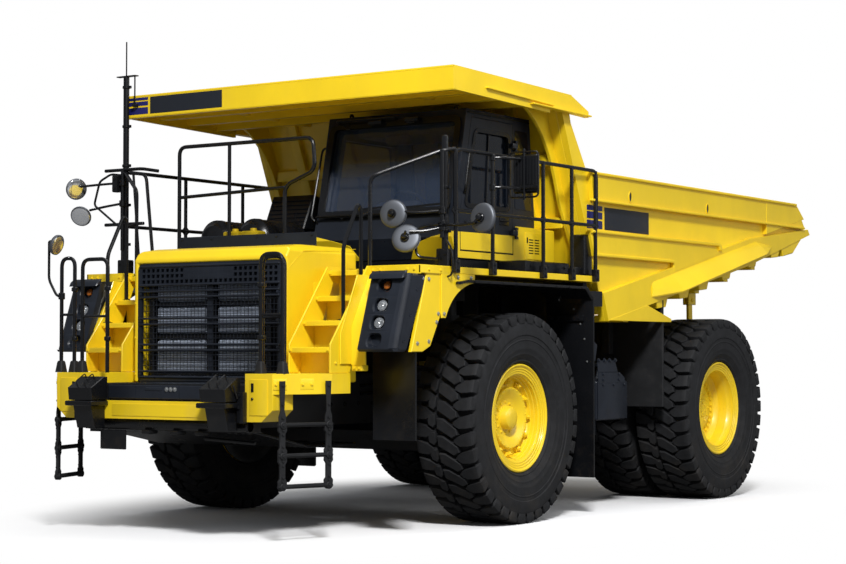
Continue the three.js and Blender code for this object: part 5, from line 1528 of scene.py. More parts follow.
def cab_fittings():
    """Wipers, grab rails, lifting eyes, roof lamp bar, gutter and the boxes beside the cab."""
    parts = [
        tube(
            [(0.02, -2.9, 3.04), (0.02, -2.945, 3.115), (1.62, -2.945, 3.115), (1.62, -2.9, 3.04)], 0.011,
            0.05),
        tube(
            [(0.02, -2.7, 3.86), (-0.045, -2.73, 3.84), (-0.045, -2.93, 3.1), (0.02, -2.88, 3.05)], 0.012,
            0.05),
        tube(
            [(0.12, -2.68, 4.1), (0.14, -2.74, 4.115), (0.85, -2.74, 4.115), (0.87, -2.68, 4.1)], 0.01,
            0.03),
        tube(
            [(1.7, -2.6, 3.7), (1.745, -2.68, 3.72), (1.745, -2.76, 3.36), (1.7, -2.72, 3.3)], 0.011, 0.03)]
    for x, reach in ((0.35, 0.62), (1.05, 0.5)):
        pivot = np.array((x, -2.915, 3.1))
        end = pivot + (reach, -0.004, 0.05)
        parts.append(rod(pivot - (0, 0.02, 0), pivot + (0, 0.05, 0), 0.024, 16))
        parts.append(beam(pivot + (0, -0.012, 0), end, 0.014, 0.01, AHEAD, 0.003))
        parts.append(
            beam(end + (-0.42, -0.002, 0.02), end + (0.12, -0.002, 0.045), 0.022, 0.008, AHEAD, 0.002))
    for x, y in ((0.2, -2.55), (0.2, -1.6), (1.5, -2.55), (1.5, -1.6)):
        ring = circle(16) * 0.022
        parts.append(holed(ALONG_X, ring * 1.5 + (y, 4.176), ring * 0.7 + (y, 4.176), x - 0.007, x + 0.007))
    parts += [
        beam((1.706, -2.66, 4.12), (1.706, -1.47, 4.12), 0.03, 0.012),
        block((0.55, -2.76, 4.045), (0.72, -2.69, 4.1), 0.012),
        block((1.0, -2.76, 4.045), (1.17, -2.69, 4.1), 0.012),
        block((1.72, -2.1, 2.531), (2.04, -1.2, 2.65), 0.012),
        bolts([(2.04, y, 2.6) for y in (-2.0, -1.65, -1.3)], OUT, 0.012),
        block((1.72, -1.18, 2.531), (2.04, -0.93, 2.62), 0.012),
        block((1.88, -0.92, 2.531), (2.06, -0.74, 2.97), 0.015)]
    return joined(parts)


def cab_inside():
    """Inner posts, a roof console, a rear shelf and a side console with its lever."""
    return joined(
        [beam((x, -2.8, 3.12), (x, -2.59, 4.02), 0.06, 0.05, AHEAD, 0.012) for x in (0.13, 1.57)],
        [beam((x, -1.43, 3.2), (x, -1.52, 4.05), 0.07, 0.03, AHEAD, 0.008) for x in (0.55, 1.05)],
        block((0.2, -2.45, 3.96), (1.5, -1.6, 4.07), 0.03),
        block((0.62, -2.56, 3.86), (0.9, -2.44, 3.97), 0.03),
        block((0.1, -1.62, 2.715), (1.6, -1.42, 3.1), 0.03),
        block((1.16, -2.3, 2.715), (1.34, -1.8, 3.12), 0.03),
        rod((1.25, -2.2, 3.12), (1.25, -2.22, 3.3), 0.01), dome((1.25, -2.22, 3.29), UP, 0.026, 0.03))


def dashboard(span):
    """A dashboard with an instrument pod, a column, and a steering wheel of a ring and three spokes."""
    low, high = span.low, span.high
    body = [
        (low[1], low[2]), (low[1] + 0.16, low[2]), (low[1] + 0.21, 2.98), (low[1] + 0.19, 3.12),
        (low[1], 3.14)]
    pod = [(-2.7, 3.1), (-2.57, 3.1), (-2.55, 3.2), (-2.6, 3.27), (-2.72, 3.22)]
    centre, direction = np.array((0.85, -2.411, 3.24)), np.array((0, 0.68, 0.733))
    ring = circle(10) * 0.017 + (0, 0.19)
    rows = axes(direction)
    parts = [
        plate(ALONG_X, softened(body, 0.04, 3), low[0], high[0], 0.02),
        plate(ALONG_X, softened(pod, 0.03, 3), 0.6, 1.1, 0.02), rod((0.85, -2.58, 3.06), centre, 0.035, 16),
        turned(ring, direction, centre, 40, wrap=True),
        turned([(-0.03, 0.03), (-0.02, 0.06), (0.012, 0.06), (0.02, 0.045)], direction, centre, 20)]
    for angle in (0.2, 2.3, 4.4):
        tip = centre + (rows[0] * math.cos(angle) + rows[1] * math.sin(angle)) * 0.185
        parts.append(beam(centre, tip, 0.03, 0.012, direction, 0.004))
    return joined(parts)


def cushion(centre, half, crown, tilt=0.0):
    """A stuffed pad: a rounded box by powers of the cosine and sine of two angles, whose top swells
    by a crown that falls to nothing at its edge."""
    u = np.linspace(-np.pi / 2, np.pi / 2, 25)[1:-1, None]
    v = np.linspace(-np.pi, np.pi, 48, endpoint=False)[None, :]

    def soft(values, power):
        """Each value's sign times its size to a power, which squares off a curve."""
        return np.sign(values) * np.abs(values) ** power

    x = soft(np.cos(u), 0.35) * soft(np.cos(v), 0.4)
    y = soft(np.cos(u), 0.35) * soft(np.sin(v), 0.4)
    z = soft(np.sin(u), 0.6) * np.ones_like(v)
    swell = crown * (1 - x ** 2) * (1 - y ** 2) * (z > 0)
    pleat = -0.006 * np.exp(-(np.abs(x) - 0.55) ** 2 / 0.002) * (z > 0.2)
    points = np.stack([x * half[0], y * half[1], z * half[2] + swell + pleat], -1)
    return carried(points).turned(spin_bases("X", np.array([tilt]))[0], centre)


def seat_frame():
    """The seat's air-sprung base, pan, back shell and folding arm rests."""
    return joined(
        block((0.67, -2.15, 2.711), (1.03, -1.85, 2.76), 0.015),
        block((0.72, -2.1, 2.76), (0.98, -1.88, 2.93), 0.03),
        block((0.6, -2.22, 2.93), (1.1, -1.77, 2.965), 0.015),
        beam((0.85, -1.755, 3.02), (0.85, -1.665, 3.68), 0.44, 0.03, (0, 1, 0), 0.01),
        [rod((x, -1.7, 3.62), (x, -1.69, 3.78), 0.008) for x in (0.8, 0.9)],
        [block((x - 0.03, -2.12, 3.2), (x + 0.03, -1.8, 3.25), 0.02) for x in (0.575, 1.125)])


def pane(outline, basis, origin, low, high):
    """A thin sheet between two offsets along the wall's outward row, placed at the wall's origin."""
    return plate(np.eye(3), outline, low, high, 0.001).turned(basis, origin)


class CabOperator(bpy.types.Operator):
    """Makes the cab's seals, panels, glass, door parts, wipers, seat, dashboard and inner trim"""
    bl_idname = "truck.cab"
    bl_label = "Cab"

    def execute(self, context):
        make("cab_seals", cab_seals(), "black paint")
        make("cab_flank", cab_side_panels(), "yellow paint")
        make("cab_louvres", louvres(), "black paint")
        make("cab_fittings", cab_fittings(), "black paint")
        make("door_panel", door_panel(), "yellow paint", body="cab_door")
        make("door_fittings", door_fittings(), "black paint", body="cab_door")
        make("cab_trim", cab_inside(), "cabin plastic")
        span = Span("dashboard")
        make("dashboard_wheel", dashboard(span), "cabin plastic", "dashboard")
        pads = (
            ("seat_cushion", cushion((0.85, -1.995, 3.02), (0.25, 0.23, 0.06), 0.03)),
            ("seat_back", cushion((0.85, -1.755, 3.38), (0.24, 0.3, 0.055), 0.03, math.radians(96))),
            ("seat_head_rest", cushion((0.85, -1.725, 3.8), (0.14, 0.085, 0.045), 0.02, math.radians(92))))
        make("seat_frame", seat_frame(), "cabin plastic", "operator_seat")
        for name, surface in pads:
            make(name, surface, "seat cloth")
        shell = Span("cab_shell")
        right = plate(ALONG_X, offset(RIGHT_PANE, -0.002), shell.low[0] + 0.02, shell.low[0] + 0.026, 0.001)
        make("right_window", right, "rear glass")
        rear = sloping((-1.35, 3.22), (-1.438, 4.01))
        glass = pane(rectangle((0.202, 0.002), (1.498, 0.79)), rear, (0, -1.35, 3.22), 0.012, 0.018)
        make("rear_window", glass, "rear glass")
        quarter = [(-1.745, 3.2), (-1.745, 4.02), (-1.505, 4.02), (-1.405, 3.2)]
        quarter = plate(ALONG_X, softened(quarter, 0.03, 3), 1.7, 1.7045, 0.001)
        make("quarter_window", quarter, "side glass")
        for node, finish in (("windscreen", "windscreen glass"), ("door_window", "side glass")):
            mesh = frame["nodes"][node].data
            for index in range(len(mesh.materials)):
                mesh.materials[index] = FINISHES[finish]
        return {"FINISHED"}


# ---- rails and mirrors
RAIL = 2.1203
MAST = (2.032, -3.571)


def deck_rail(side, posts):
    """The deck's side rail: two bars, posts, gussets and a bolted clamp at each foot."""
    x = side * RAIL
    ends = (-3.53, -0.76)
    parts = [
        tube(
            [(x, ends[0], 3.065), (x, ends[0], 3.65), (x, ends[1], 3.65), (x, ends[1], 3.065)], 0.02, 0.09),
        rod((x, ends[0], 3.065), (x, ends[1], 3.065), 0.019)]
    for y in posts:
        parts.append(post(x, y, 2.475, 3.65, 0.02))
        parts.append(block((x - 0.028, y - 0.04, 2.47), (x + 0.028, y + 0.04, 2.6), 0.006))
        parts.append(bolts([(x + 0.028 * side, y, z) for z in (2.5, 2.57)], (side, 0, 0), 0.012))
        gusset = [(y - 0.07, 3.065), (y, 3.13), (y + 0.07, 3.065), (y, 3.0)]
        parts.append(plate(ALONG_X, gusset, x - 0.005, x + 0.005, 0.001))
    return joined(parts)


def stair_rail(side):
    """The stair's handrail loop, and the landing's post that bends into the top rail."""
    x = side * 1.475
    loop = [(x, -4.44, 2.01), (x, -4.44, 2.7), (x, -4.21, 3.11), (x, -4.16, 3.06), (x, -4.16, 2.244)]
    top = [
        (x, -4.012, 2.492), (x, -4.012, 3.38), (side * MAST[0], MAST[1] - 0.02, 3.64),
        (side * RAIL, -3.52, 3.65)]
    return joined(
        tube(loop, 0.0195, 0.06), tube(top, 0.0195, 0.08), rod((x, -4.16, 3.0), (x, -4.012, 3.04), 0.014),
        [
            s for y, z in ((-4.44, 2.01), (-4.16, 2.244), (-4.012, 2.492))
            for s in (
                block((x - 0.045, y - 0.03, z), (x + 0.045, y + 0.03, z + 0.012), 0.003),
                bolts([(x + s, y, z + 0.012) for s in (-0.032, 0.032)], UP, 0.008))])


def mast(side, top):
    """An upright tube with a bolted foot plate and ring clamps."""
    x, y = side * MAST[0], MAST[1]
    return joined(
        post(x, y, 2.531, top, 0.032, 20, 0.008),
        block((x - 0.07, y - 0.05, 2.466), (x + 0.06, y + 0.065, 2.7), 0.008),
        bolts([(x + s, y - 0.05, z) for s in (-0.045, 0.035) for z in (2.52, 2.65)], AHEAD, 0.013),
        [
            s for z in np.arange(2.85, top - 0.1, 0.42)
            for s in (
                post(x, y, z, z + 0.03, 0.042, 20, 0.005),
                block((x + 0.03, y - 0.012, z), (x + 0.065, y + 0.012, z + 0.03), 0.003))])


def flat_mirror():
    """The large mirror: a ribbed back in a bent tube frame, on two arms."""
    x0, x1, z0, z1, y = RAIL + 0.03, 2.47, 3.263, 3.69, -2.535
    frame_line = np.array(((x0 - 0.012, z0 - 0.02), (x1, z0 - 0.02), (x1, z1), (x0 - 0.012, z1)))
    ring = softened(np.column_stack([frame_line[:, 0], np.full(4, y - 0.035), frame_line[:, 1]]), 0.05, 4)
    section = circle(8) * 0.01
    run = np.roll(ring, -1, 0) - np.roll(ring, 1, 0)
    run /= np.linalg.norm(run, axis=1)[:, None]
    across = np.cross(run, (0, 1, 0))
    rings = ring[:, None] + section[
        None, :, :1] * across[:, None] + section[None, :, 1:] * np.array((0, 1, 0))
    return joined(
        block((x0 + 0.02, y - 0.025, z0 + 0.02), (x1 - 0.02, y + 0.025, z1 - 0.02), 0.03, 4),
        carried(rings, wrap=True),
        [
            block((x - 0.008, y - 0.034, z0 + 0.1), (x + 0.008, y - 0.02, z1 - 0.05), 0.004)
            for x in np.linspace(x0 + 0.06, x1 - 0.06, 7)],
        beam((x0, y - 0.04, z0 + 0.08), (x1, y - 0.04, z0 + 0.08), 0.035, 0.012, AHEAD),
        rod(((x0 + x1) / 2, y - 0.04, z0 - 0.05), ((x0 + x1) / 2, y - 0.04, z1 + 0.03), 0.012),
        [
            s for z in (3.33, 3.62)
            for s in (
                tube([(RAIL, -2.857, z), (RAIL + 0.09, -2.8, z), (RAIL + 0.15, -2.56, z)], 0.013, 0.05),
                post(RAIL, -2.857, z - 0.03, z + 0.03, 0.032, 16, 0.005))])


def mirror_arm(start, end, sag=0.0):
    """A bent tube arm with a clamp at its root and a ball joint at its tip."""
    start, end = np.asarray(start, float), np.asarray(end, float)
    middle = (start + end) / 2 + (0, -0.02, -sag)
    return joined(
        tube([start, middle, end], 0.013, 0.08),
        rod(start - (0, 0, 0.035), start + (0, 0, 0.035), 0.034, 16, 0.006),
        bolts([start + (0, -0.034, s) for s in (-0.018, 0.018)], AHEAD, 0.01))


def round_mirror(centre, radius, facing):
    """A convex mirror's back shell, turned about the way that it faces."""
    t = np.linspace(0, 1, 9)[:-1]
    bowl = [(0.034 * (1 - (1 - s) ** 2.0) ** 0.6, radius * (1 - s ** 2.2 * 0.8)) for s in t]
    profile = [(-0.012, radius * 0.97), (-0.01, radius), (0.0, radius * 1.02)] + bowl
    return turned(profile, facing, centre, 40)


def ball_mount(centre, facing, arm_end):
    """The socket, ring and ball behind a mirror, and the stub that reaches the arm."""
    facing = np.asarray(facing, float) / np.linalg.norm(facing)
    base = np.asarray(centre, float) + facing * 0.042
    return joined(
        rod(base - facing * 0.01, base + facing * 0.02, 0.042, 20, 0.006),
        turned(
            [(0, 0.02), (0.012, 0.028), (0.03, 0.028), (0.042, 0.02)], facing, base + facing * 0.012, 20),
        rod(base + facing * 0.03, np.asarray(arm_end, float), 0.012))


def left_mirror_arms():
    """The left mast, its slightly sagging bars to the mirrors, a guard loop and a looped hose."""
    x, y = MAST[0], MAST[1] - 0.0523
    arms = (
        ((x, y, 3.06), (1.63, -3.8, 3.06)), ((x, y, 2.9), (1.79, -3.82, 2.86)),
        ((x, y, 2.93), (2.49, -3.75, 2.92)))
    guard = [(x - 0.02, y - 0.03, 2.93), (1.8, -3.72, 2.9), (1.8, -3.72, 2.62), (x - 0.02, y - 0.03, 2.6)]
    hose = [(x + 0.05, y, 2.78), (x + 0.13, y - 0.03, 2.7), (x + 0.14, y - 0.02, 2.45), (x + 0.02, y, 2.42)]
    return joined(
        post(x, y, 2.8, 3.64, 0.02), [mirror_arm(start, end, 0.02) for start, end in arms],
        tube(guard, 0.014, 0.08), tube(hose, 0.01, 0.1, 8, 6),
        [ball_mount(centre, facing, end) for centre, facing, end in LEFT_MIRRORS])


# The left round mirrors, as (middle, the way it faces, the end of its arm).
LEFT_MIRRORS = (
    ((1.59, -3.79, 3.035), (0.25, -1, 0.05), (1.63, -3.87, 3.06)),
    ((1.735, -3.79, 2.795), (0.35, -1, 0.3), (1.79, -3.88, 2.86)),
    ((2.54, -3.7, 2.965), (-0.1, -1, 0.05), (2.49, -3.78, 2.92)))

# The right round mirrors, as (middle, radius, the way it faces).
RIGHT_MIRRORS = (
    ((-2.63, -3.7, 3.475), 0.114, (-0.88, 0.435, 0.187)), ((-2.56, -3.7, 3.18), 0.112, (-0.35, 0.8, 0.49)),
    ((-1.484, -5.15, 2.771), 0.1, (-0.94, -0.17, 0.29)))


def right_mirror_arms():
    """The right mast with its bent tube and bolted clamp, and the bars to the round mirrors."""
    x, y = -MAST[0], MAST[1] - 0.0523
    return joined(
        post(x, y, 2.8, 3.66, 0.02), mirror_arm((x, y, 3.3), (-2.44, -3.69, 3.24)),
        mirror_arm((x, y, 3.52), (-2.575, -3.69, 3.5)),
        tube([(x, y, 3.6), (-2.2, y, 3.62), (-2.36, y, 3.55), (-2.44, y, 3.3), (x, y, 3.02)], 0.012, 0.04),
        block((-2.13, y - 0.06, 3.42), (-2.06, y + 0.02, 3.6), 0.008),
        bolts([(-2.095, y - 0.06, z) for z in (3.46, 3.56)], AHEAD, 0.012))


def right_rail_front():
    """The guard rail along the deck's front edge, with the loop beside the cab."""
    long_bar = [(-1.36, -3.48, 2.532), (-1.36, -3.48, 3.87), (0.397, -3.48, 3.87), (0.42, -3.48, 3.54)]
    long_bar += [(0.04, -3.48, 3.4), (0.04, -3.48, 2.532)]
    return joined(
        tube(long_bar, 0.0205, 0.09, 10, 6), post(-0.683, -3.48, 3.87, 2.532, 0.019),
        rod((-1.36, -3.48, 3.34), (0.04, -3.48, 3.385), 0.018),
        [
            s for x in (-1.36, -0.683, 0.04)
            for s in (
                block((x - 0.045, -3.515, 2.531), (x + 0.045, -3.445, 2.545), 0.004),
                bolts([(x + s, -3.48, 2.545) for s in (-0.032, 0.032)], UP, 0.01))])


def mast_head():
    """The bracket on the tall mast with the aerial's socket and the aerial."""
    x, y = -MAST[0], MAST[1]
    return joined(
        block((x - 0.12, y - 0.03, 4.655), (x + 0.15, y + 0.03, 4.667), 0.004),
        block((x + 0.09, y - 0.02, 4.33), (x + 0.15, y + 0.03, 4.36), 0.006),
        post(x, y, 4.35, 5.033, 0.0075, 8), post(x + 0.12, y, 4.36, 4.655, 0.008, 8))


def boarding_bars():
    """The bars at the deck's front right corner beside the mast."""
    y = -3.6
    return joined(
        tube([(-1.6, y, 2.54), (-1.72, y, 3.6), (-1.95, y, 3.62)], 0.018, 0.08),
        tube([(-1.6, y + 0.06, 3.63), (-1.78, y, 3.66), (-2.3, y, 3.66)], 0.018, 0.05),
        rod((-1.75, y, 3.08), (-2.3, y, 3.08), 0.018), rod((-1.8, y, 2.54), (-1.9, y, 3.62), 0.014))


def air_cleaner(x):
    """A ribbed canister with a stepped, domed lid."""
    z = np.linspace(0, 0.56, 15)
    ribs = [(a, 0.205 + 0.006 * math.cos(i * math.pi)) for i, a in enumerate(z)]
    lid = [(-0.16, 0.02), (-0.158, 0.09), (-0.135, 0.155), (-0.09, 0.185), (-0.075, 0.215), (-0.02, 0.217)]
    profile = lid + [(-0.015, 0.207)] + ribs + [(0.565, 0.18), (0.575, 0.02)]
    return turned(profile, (0, 1, 0), (x, -3.17, 2.89), 40)


def intake():
    """The air cleaners on their stand, their ducts, and the slatted snorkel behind them."""
    span = Span("air_cleaners")
    hood = [(-2.6, 3.02), (-2.2, 3.02), (-2.1, 3.36), (-2.42, 3.4)]
    return joined(
        block((span.low[0], -3.25, 2.531), (span.high[0], -2.65, 2.7), 0.02),
        [air_cleaner(x) for x in (-1.05, -0.55)],
        [
            tube([(x, -2.6, 2.89), (x, -2.45, 2.89), (x, -2.4, 2.6)], 0.09, 0.12, 20, 8)
            for x in (-1.05, -0.55)],
        block((-1.2, -2.5, 2.531), (-0.4, -2.2, 3.02), 0.03), plate(ALONG_X, hood, -0.95, -0.4, 0.012),
        [
            block(
                (-0.93, -2.6 + (z - 3.02) * 0.46 - 0.008, z), (-0.42, -2.56 + (z - 3.02) * 0.46, z + 0.008),
                0.002)
            for z in np.linspace(3.06, 3.34, 7)])


class RailsOperator(bpy.types.Operator):
    """Makes the deck rails, stair rails, masts, mirrors with their arms, and the air cleaners"""
    bl_idname = "truck.rails"
    bl_label = "Rails and mirrors"

    def execute(self, context):
        left = [
            deck_rail(1, (-3.52, -2.857, -1.88, -1.29, -0.78)), stair_rail(1), mast(1, 3.78), flat_mirror()]
        make("railing_left_tubes", left, "black paint", "railing_left")
        right = [deck_rail(-1, (-3.52, -2.5, -1.5, -0.78)), stair_rail(-1), mast(-1, 4.664), mast_head()]
        right += [right_rail_front(), boarding_bars()]
        make("railing_right_tubes", right, "black paint", "railing_right")
        make("mirrors_left_arms", left_mirror_arms(), "black paint", "mirrors_left")
        make("mirrors_right_arms", right_mirror_arms(), "black paint", "mirrors_right")
        radii = (0.134, 0.138, 0.14)
        backs = [round_mirror(place, r, facing) for (place, facing, _), r in zip(LEFT_MIRRORS, radii)]
        make("round_mirrors_left", backs, "mirror back")
        shells = [round_mirror(place, radius, facing) for place, radius, facing in RIGHT_MIRRORS]
        make("round_mirrors_right", shells, "mirror back")
        glass = [
            dome(np.add(place, np.multiply(facing, -0.01)), np.negative(facing), radius * 0.93, 0.008, 32)
            for place, radius, facing in RIGHT_MIRRORS]
        make("mirror_glass_right", glass, "mirror glass")
        make("air_cleaner_set", intake(), "black paint", "air_cleaners")
        grip = block((-2.085, -3.485, 2.53), (2.085, -0.715, 2.533), 0.001)
        make("deck_grip", grip, "grip coating", slot="black_paint")
        return {"FINISHED"}


# ---- chassis
def hoist_line(side):
    """A hoist's bottom pin, its top pin and the unit vector between them."""
    foot = np.array((side * 0.69, 0.6, 0.95))
    eye = np.array((side * 0.69, 1.5, 2.3))
    return (foot, eye, (eye - foot) / np.linalg.norm(eye - foot))


def hoist_barrel(side):
    """A hoist cylinder's barrel with its gland, bands, oil pipe and bottom eye."""
    foot, eye, run = hoist_line(side)
    length = np.linalg.norm(eye - foot) - 0.13
    profile = [(0.06, 0.05), (0.07, 0.094), (0.1, 0.097), (0.4, 0.097), (0.4, 0.104), (0.44, 0.104)]
    profile += [
        (0.44, 0.097), (length - 0.12, 0.097), (length - 0.12, 0.108), (length - 0.01, 0.108),
        (length, 0.1)]
    profile += [(length, 0.0625), (0.125, 0.0625), (0.125, 0.05)]
    pipe = [foot + run * 0.12 + (0, 0.11, 0), foot + run * 0.9 + (0, 0.11, 0)]
    return joined(
        turned(profile, run, foot, 32, wrap=True),
        turned(
            [(-0.084, 0.095), (0.084, 0.095), (0.084, 0.045), (-0.084, 0.045)], OUT, foot, 28, wrap=True),
        rod(*pipe, 0.012, 10))


def hoist_rod(side):
    """The plated rod and its top eye."""
    foot, eye, run = hoist_line(side)
    ring = [(-0.062, 0.085), (-0.056, 0.09), (0.056, 0.09), (0.062, 0.085), (0.062, 0.044), (-0.062, 0.044)]
    return joined(
        rod(foot + run * 0.128, eye - run * 0.05, 0.0615, 28), turned(ring, OUT, eye, 28, wrap=True))


def tank_fittings(side):
    """A tank's straps, filler, pipes and step, and the bolted plates of its outer flap."""
    x = 1.9
    parts = [
        block((x, -0.35, 0.985), (x + 0.012, 0.32, 1.395), 0.006),
        bolts([(x + 0.012, y, 1.365) for y in (-0.24, 0.0, 0.24)], OUT, 0.014),
        plate(
            ALONG_X, [(-0.34, 1.38), (0.26, 1.38), (0.26, 1.44), (0.15, 1.5), (-0.34, 1.5)], x + 0.002,
            x + 0.014),
        bolts([(x + 0.014, y, z) for y in (-0.24, 0.12) for z in (1.42, 1.48)], OUT, 0.014),
        plate(ALONG_X, [(-0.33, 1.5), (0.12, 1.5), (0.05, 1.63), (-0.35, 1.63)], x - 0.006, x + 0.006),
        bolts([(x + 0.006, y, 1.63) for y in (-0.33, -0.2, -0.08, 0.05)], OUT, 0.018),
        plate(ALONG_X, [(-0.575, 1.7), (-0.4, 1.62), (-0.352, 1.8), (-0.575, 1.92)], x - 0.006, x + 0.006),
        beam((x - 0.02, -0.46, 1.4), (x - 0.02, -0.46, 1.75), 0.03, 0.02),
        block((1.49, -0.3, 1.414), (1.86, 0.28, 1.428), 0.006),
        post(1.62, -0.12, 1.42, 1.48, 0.045, 24, 0.008),
        tube([(1.52, 0.18, 1.45), (1.52, 0.18, 1.56), (1.52, 0.6, 1.62)], 0.022, 0.06),
        tube([(1.6, 0.18, 1.4), (1.6, 0.22, 1.54), (1.55, 0.6, 1.58)], 0.018, 0.06)]
    for y in (-0.45, 0.25):
        strap = softened(rectangle((0.556, 0.776), (1.504, 1.454)), 0.04, 3)
        inner = softened(rectangle((0.562, 0.782), (1.498, 1.448)), 0.035, 3)
        parts.append(holed(ALONG_Y, strap, inner, y - 0.03, y + 0.03))
    return joined(parts).on_side(side)


def frame_fittings(side):
    """Two hose runs and two rows of bolts along the frame rail."""
    x = 0.565
    return joined(
        tube([(x, -2.9, 1.3), (x + 0.02, -1.6, 1.34), (x, -0.7, 1.3)], 0.02, 0.3),
        tube([(x, -2.9, 1.38), (x + 0.03, -1.8, 1.42), (x, -0.7, 1.4)], 0.016, 0.3),
        bolts([(x - 0.006, y, 1.2) for y in np.linspace(-3.4, -0.8, 12)], OUT, 0.015),
        bolts([(x - 0.006, y, 1.48) for y in np.linspace(0.6, 2.9, 12)], OUT, 0.015)).on_side(side)


def strut_fittings(side):
    """A front strut's outer tube and gland."""
    centre = (side * 1.13, -2.15, 0)
    return joined(
        turned([(1.3, 0.096), (1.3, 0.125), (2.1, 0.125), (2.1, 0.096)], UP, centre, 28, wrap=True),
        turned([(1.24, 0.096), (1.24, 0.138), (1.34, 0.138), (1.34, 0.096)], UP, centre, 28, wrap=True))


class ChassisOperator(bpy.types.Operator):
    """Makes the hoist cylinders, and the tanks', frame's and struts' fittings"""
    bl_idname = "truck.chassis"
    bl_label = "Chassis fittings"

    def execute(self, context):
        for name, side in SIDES.items():
            node = f"hoist_barrel_{name}"
            make(f"{node}_tube", hoist_barrel(side), "cast iron", node, body=node)
            node = f"hoist_rod_{name}"
            make(f"{node}_tube", hoist_rod(side), "plated rod", node, body=node)
            refined(f"steering_knuckle_{name}", "cast iron")
            make(f"tank_fittings_{name}", tank_fittings(side), "charcoal paint")
            make(f"frame_fittings_{name}", frame_fittings(side), "black paint")
            make(f"strut_{name}", strut_fittings(side), "cast iron")
        return {"FINISHED"}


# ---- stage
CAMERA_PLACE = (12.066, -18.906, 1.715)
CAMERA_AZIMUTH = 33.85
CAMERA_PITCH = 2.09
CAMERA_LENS = 82.4


def area_lamp(name, place, target, size, power, colour=(1.0, 1.0, 1.0)):
    """A square soft lamp aimed at a point."""
    lamp = bpy.data.lights.new(name, "AREA")
    lamp.size, lamp.energy, lamp.color = size, power, colour
    holder = bpy.data.objects.new(name, lamp)
    place, target = Vector(place), Vector(target)
    holder.location = place
    holder.rotation_euler = (target - place).to_track_quat("-Z", "Y").to_euler()
    bpy.context.scene.collection.objects.link(holder)
    return holder


def floor_material(stage):
    """A matt pale floor that takes the truck's shadow and turns, far out, into plain white."""
    finish = Finish("studio floor", Roughness=0.9, Specular_IOR_Level=0.0)
    grain = finish.noise(30, 2, 0.5)
    finish.set(Normal=finish.bump(grain, 0.0005))
    oval = finish.stretched((1.0, 0.6, 1.0))
    reach = finish.node("VectorMath", {"operation": "LENGTH"}, {0: oval})
    far = Wire(finish, reach.outputs["Value"]).ramp(stage.fade_start, stage.fade_end)
    glow = finish.node("Emission", None, {"Color": (1, 1, 1, 1), "Strength": 1.0})
    path = finish.node("LightPath")
    direct = path.outputs["Is Camera Ray"]
    finish.set(Base_Color=finish.mix(direct, shade(stage.floor, stage.bounce), shade(stage.floor, 1.0)))
    seen = Wire(finish, direct) + Wire(finish, path.outputs["Is Transmission Ray"])
    amount = far * seen.ramp(0.0, 1.0)
    blend = finish.node("MixShader", None, {0: amount, 1: finish.shader.outputs[0], 2: glow.outputs[0]})
    output = finish.tree.nodes["Material Output"]
    finish.tree.links.new(blend.outputs[0], output.inputs["Surface"])
    return finish.material


def white_world(stage):
    """A pale studio sky that the camera, gloss and glass see as plain white."""
    world = bpy.data.worlds.new("Studio")
    bpy.context.scene.world = world
    world.use_nodes = True
    tree = world.node_tree
    sky = tree.nodes["Background"]
    sky.inputs["Color"].default_value = (0.93, 0.96, 1.0, 1.0)
    sky.inputs["Strength"].default_value = stage.sky
    kinds = ("Background", "LightPath", "MixShader", "Math")
    white, path, blend, seen = [tree.nodes.new(f"ShaderNode{kind}") for kind in kinds]
    white.inputs["Color"].default_value = (1, 1, 1, 1)
    seen.operation, seen.use_clamp = "ADD", True
    for start, end in (
        (path.outputs["Is Camera Ray"], seen.inputs[0]),
        (path.outputs["Is Transmission Ray"], seen.inputs[1]), (seen.outputs[0], blend.inputs[0]),
        (sky.outputs[0], blend.inputs[1]), (white.outputs[0], blend.inputs[2]),
        (blend.outputs[0], tree.nodes["World Output"].inputs["Surface"])):
        tree.links.new(start, end)


class StageOperator(bpy.types.Operator):
    """Sets the pale floor, the white surround, the soft lamps and the camera"""
    bl_idname = "truck.stage"
    bl_label = "Stage"

    def execute(self, context):
        scene, stage = context.scene, context.scene.truck_stage
        scene.view_settings.view_transform = "Standard"
        ring = circle(96) * stage.floor_radius
        mesh = bpy.data.meshes.new("floor")
        mesh.from_pydata(
            np.column_stack([ring, np.zeros(len(ring))]).tolist(), [], [list(range(len(ring)))])
        mesh.materials.append(floor_material(stage))
        floor = bpy.data.objects.new("floor", mesh)
        scene.collection.objects.link(floor)
        white_world(stage)
        aim = (0, 0, 2.0)
        area_lamp("key", (11, -14.5, 14.5), aim, 2.8, stage.key)
        area_lamp("fill", (17, 4, 8), aim, 8.0, stage.fill)
        area_lamp("top", (2, 3, 17), aim, 12.0, stage.top)
        area_lamp("back", (-6, 17, 9), aim, 8.0, stage.back)
        camera = bpy.data.objects.new("camera", bpy.data.cameras.new("camera"))
        camera.data.lens = CAMERA_LENS
        camera.data.clip_end = 200
        camera.location = np.array(CAMERA_PLACE) + ORIGIN
        camera.rotation_euler = (math.radians(90 + CAMERA_PITCH), 0, math.radians(CAMERA_AZIMUTH))
        scene.collection.objects.link(camera)
        scene.camera = camera
        return {"FINISHED"}


# ---- settings and panel
def colour_of(name, description, default):
    """One colour, with its name, its meaning and its default."""
    return bpy.props.FloatVectorProperty(
        name=name, description=description, default=default, size=3, min=0.0, max=1.0, subtype="COLOR")


def number(name, description, default, **kind):
    """One length, power or share, with its name, its meaning and its default."""
    return bpy.props.FloatProperty(name=name, description=description, default=default, **kind)


